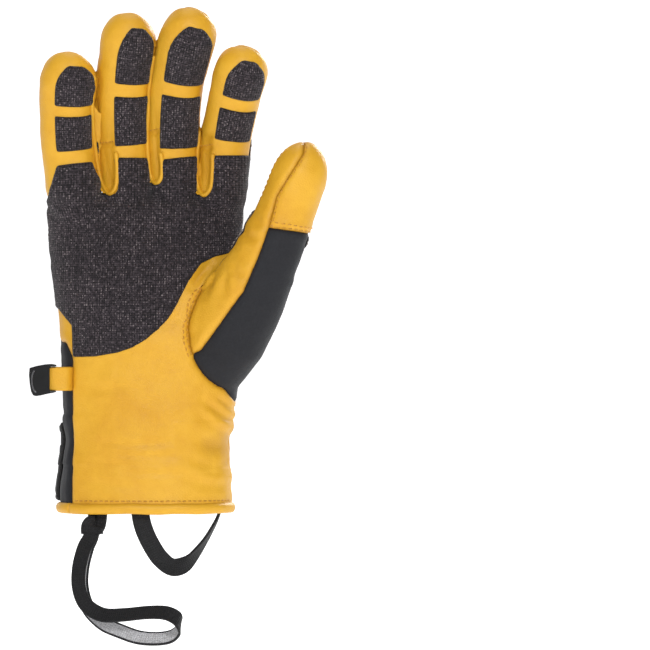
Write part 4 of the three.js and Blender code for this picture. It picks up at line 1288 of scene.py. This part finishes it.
PULL_LOOP = [
    (-0.02, -0.522, -0.32, -90), (-0.018, -0.52, 0.0, -90), (0.0, -0.5, 0.25, -90), (0.035, -0.43, 0.5, -88),
    (0.08, -0.34, 0.72, -80), (0.14, -0.24, 0.86, -58), (0.21, -0.15, 0.8, -28), (0.275, -0.09, 0.56, -12),
    (0.33, -0.06, 0.28, -4), (0.37, -0.04, 0.0, 0), (0.381, -0.03, -0.32, 0),
]
LEASH = [
    (-0.252, -0.48, 0.12, -104, 0), (-0.272, -0.502, 0.195, -104, 0), (-0.298, -0.53, 0.27, -105, 0),
    (-0.322, -0.58, 0.42, -108, 0), (-0.322, -0.64, 0.58, -112, 5), (-0.285, -0.72, 0.71, -118, 14),
    (-0.2, -0.83, 0.785, -122, 24),
    (-0.09, -0.99, 0.778, -124, 30), (0.02, -1.14, 0.755, -124, 32), (0.11, -1.25, 0.752, -112, 30),
    (0.165, -1.28, 0.785, -75, 20), (0.185, -1.22, 0.835, -30, 8), (0.18, -1.13, 0.89, 15, -8),
    (0.14, -1.07, 0.945, 42, -20), (0.07, -1.02, 0.965, 54, -28), (-0.02, -0.94, 0.958, 56, -30),
    (-0.11, -0.84, 0.915, 56, -28), (-0.2, -0.72, 0.855, 58, -22), (-0.275, -0.62, 0.74, 62, -14),
    (-0.308, -0.55, 0.59, 67, -5), (-0.308, -0.5, 0.43, 71, 0), (-0.285, -0.465, 0.27, 74, 0),
    (-0.266, -0.448, 0.195, 76, 0), (-0.254, -0.445, 0.12, 76, 0),
]
SLEEVE = [
    (-0.23, -0.425, -0.18, -110, 0, 1, 1), (-0.233, -0.427, 0.0, -110, 0, 1, 1),
    (-0.24, -0.435, 0.085, -108, 0, 1, 1), (-0.258, -0.455, 0.1, -106, 0, 1.1, 1.9),
    (-0.26, -0.465, 0.16, -106, 0, 1.1, 1.9),
]
SIDE_TAB = [(-0.485, -0.335, -67.15, -90, 0, 0.98, 1), (-0.45, -0.35, -67.15, -90, 0, 1, 1.08),
            (-0.41, -0.352, -67.15, -90, 0, 1, 1.08), (-0.385, -0.33, -67.15, -90, 0, 1, 1),
            (-0.367, -0.25, -67.15, -90, 0, 1, 0.9), (-0.36, -0.17, -67.15, -90, 0, 1, 0.8)]
tape("pull_loop_tape", [(*r, 0, 1, 1) for r in PULL_LOOP], 31.5, 9, 1.4, [TAPE, TAPE], "webbing", "pull_loop")
tape("leash_tape", [(*r, 1, 1) for r in LEASH], 63, 7.5, 1.4, [TAPE, TAPE_BACK], "webbing", "leash_loop")
tape("leash_sleeve_tape", SLEEVE, 63, 10.1, 2.4, [TAPE, TAPE], "webbing", "leash_sleeve")
tape("side_tab_fold", SIDE_TAB, 1, 12, 2.3, [GOLD, GOLD], "leather", "side_tab")

for (group, (verts, faces)), thread, slot in zip(STITCHES.items(), (GOLD_THREAD, DARK_THREAD, PALE_THREAD),
                                                 ("leather", "knit", "knit")):
    place(mesh_object(group, verts, faces, [thread]), slot)


# Studio

# The floor in metres: its front edge, where it starts to bend up, the bend's radius, the wall's top
FLOOR_FRONT, BEND_START, BEND, WALL_TOP = -6.0, 3.4, 0.8, 5.0
FLOOR_HALF = 7.0
FLOOR_HEIGHT = -0.078


def backdrop():
    """A pale floor that bends up into a wall behind the glove."""
    turns = np.radians(np.arange(6, 91, 6))
    bend = [(BEND_START + BEND * math.sin(a), BEND * (1 - math.cos(a))) for a in turns]
    profile = [(FLOOR_FRONT, 0.0), (BEND_START, 0.0)] + bend + [(BEND_START + BEND, WALL_TOP)]
    count = len(profile)
    verts = [(x_ / MM, y_ / MM, (FLOOR_HEIGHT + z_) / MM)
             for x_ in (-FLOOR_HALF, FLOOR_HALF) for y_, z_ in profile]
    faces = [(k + count, k + 1 + count, k + 1, k) for k in range(count - 1)]
    mesh_object("studio_floor", verts, faces, [BACKDROP])


def area_light(name, spot, size, power, aim=(0.0, 0.0, 0.09)):
    light = bpy.data.lights.new(name, "AREA")
    light.shape = "DISK"
    light.size = size
    light.energy = power
    obj = bpy.data.objects.new(name, light)
    obj.location = spot
    obj.rotation_euler = (Vector(aim) - Vector(spot)).to_track_quat("-Z", "Y").to_euler()
    bpy.context.collection.objects.link(obj)


backdrop()
area_light("key", (0.3, -1.9, 1.1), 0.45, 26)
area_light("fill", (-1.4, -1.4, 0.5), 1.2, 3)
area_light("top", (0.0, 0.5, 1.8), 0.9, 9)
area_light("rear_key", (0.9, 1.6, 0.9), 0.6, 22)
world = bpy.data.worlds.new("studio")
world.use_nodes = True
world.node_tree.nodes["Background"].inputs["Color"].default_value = (1, 1, 1, 1)
world.node_tree.nodes["Background"].inputs["Strength"].default_value = 0.26
bpy.context.scene.world = world
bpy.context.scene.view_settings.view_transform = "Standard"

# The camera looks level at the palm, as the photograph does. FRAME is the picture's width at the palm.
DISTANCE, FRAME = 2.6, 0.325
camera = bpy.data.cameras.new("camera")
camera.sensor_width = 36
camera.sensor_fit = "HORIZONTAL"
camera.lens = camera.sensor_width * DISTANCE / FRAME
camera.clip_start, camera.clip_end = 0.1, 20
camera_obj = bpy.data.objects.new("camera", camera)
camera_obj.location = (0.09, -DISTANCE - 0.01, 0.094)
camera_obj.rotation_euler = (math.pi / 2, 0, 0)
bpy.context.collection.objects.link(camera_obj)
bpy.context.scene.camera = camera_obj
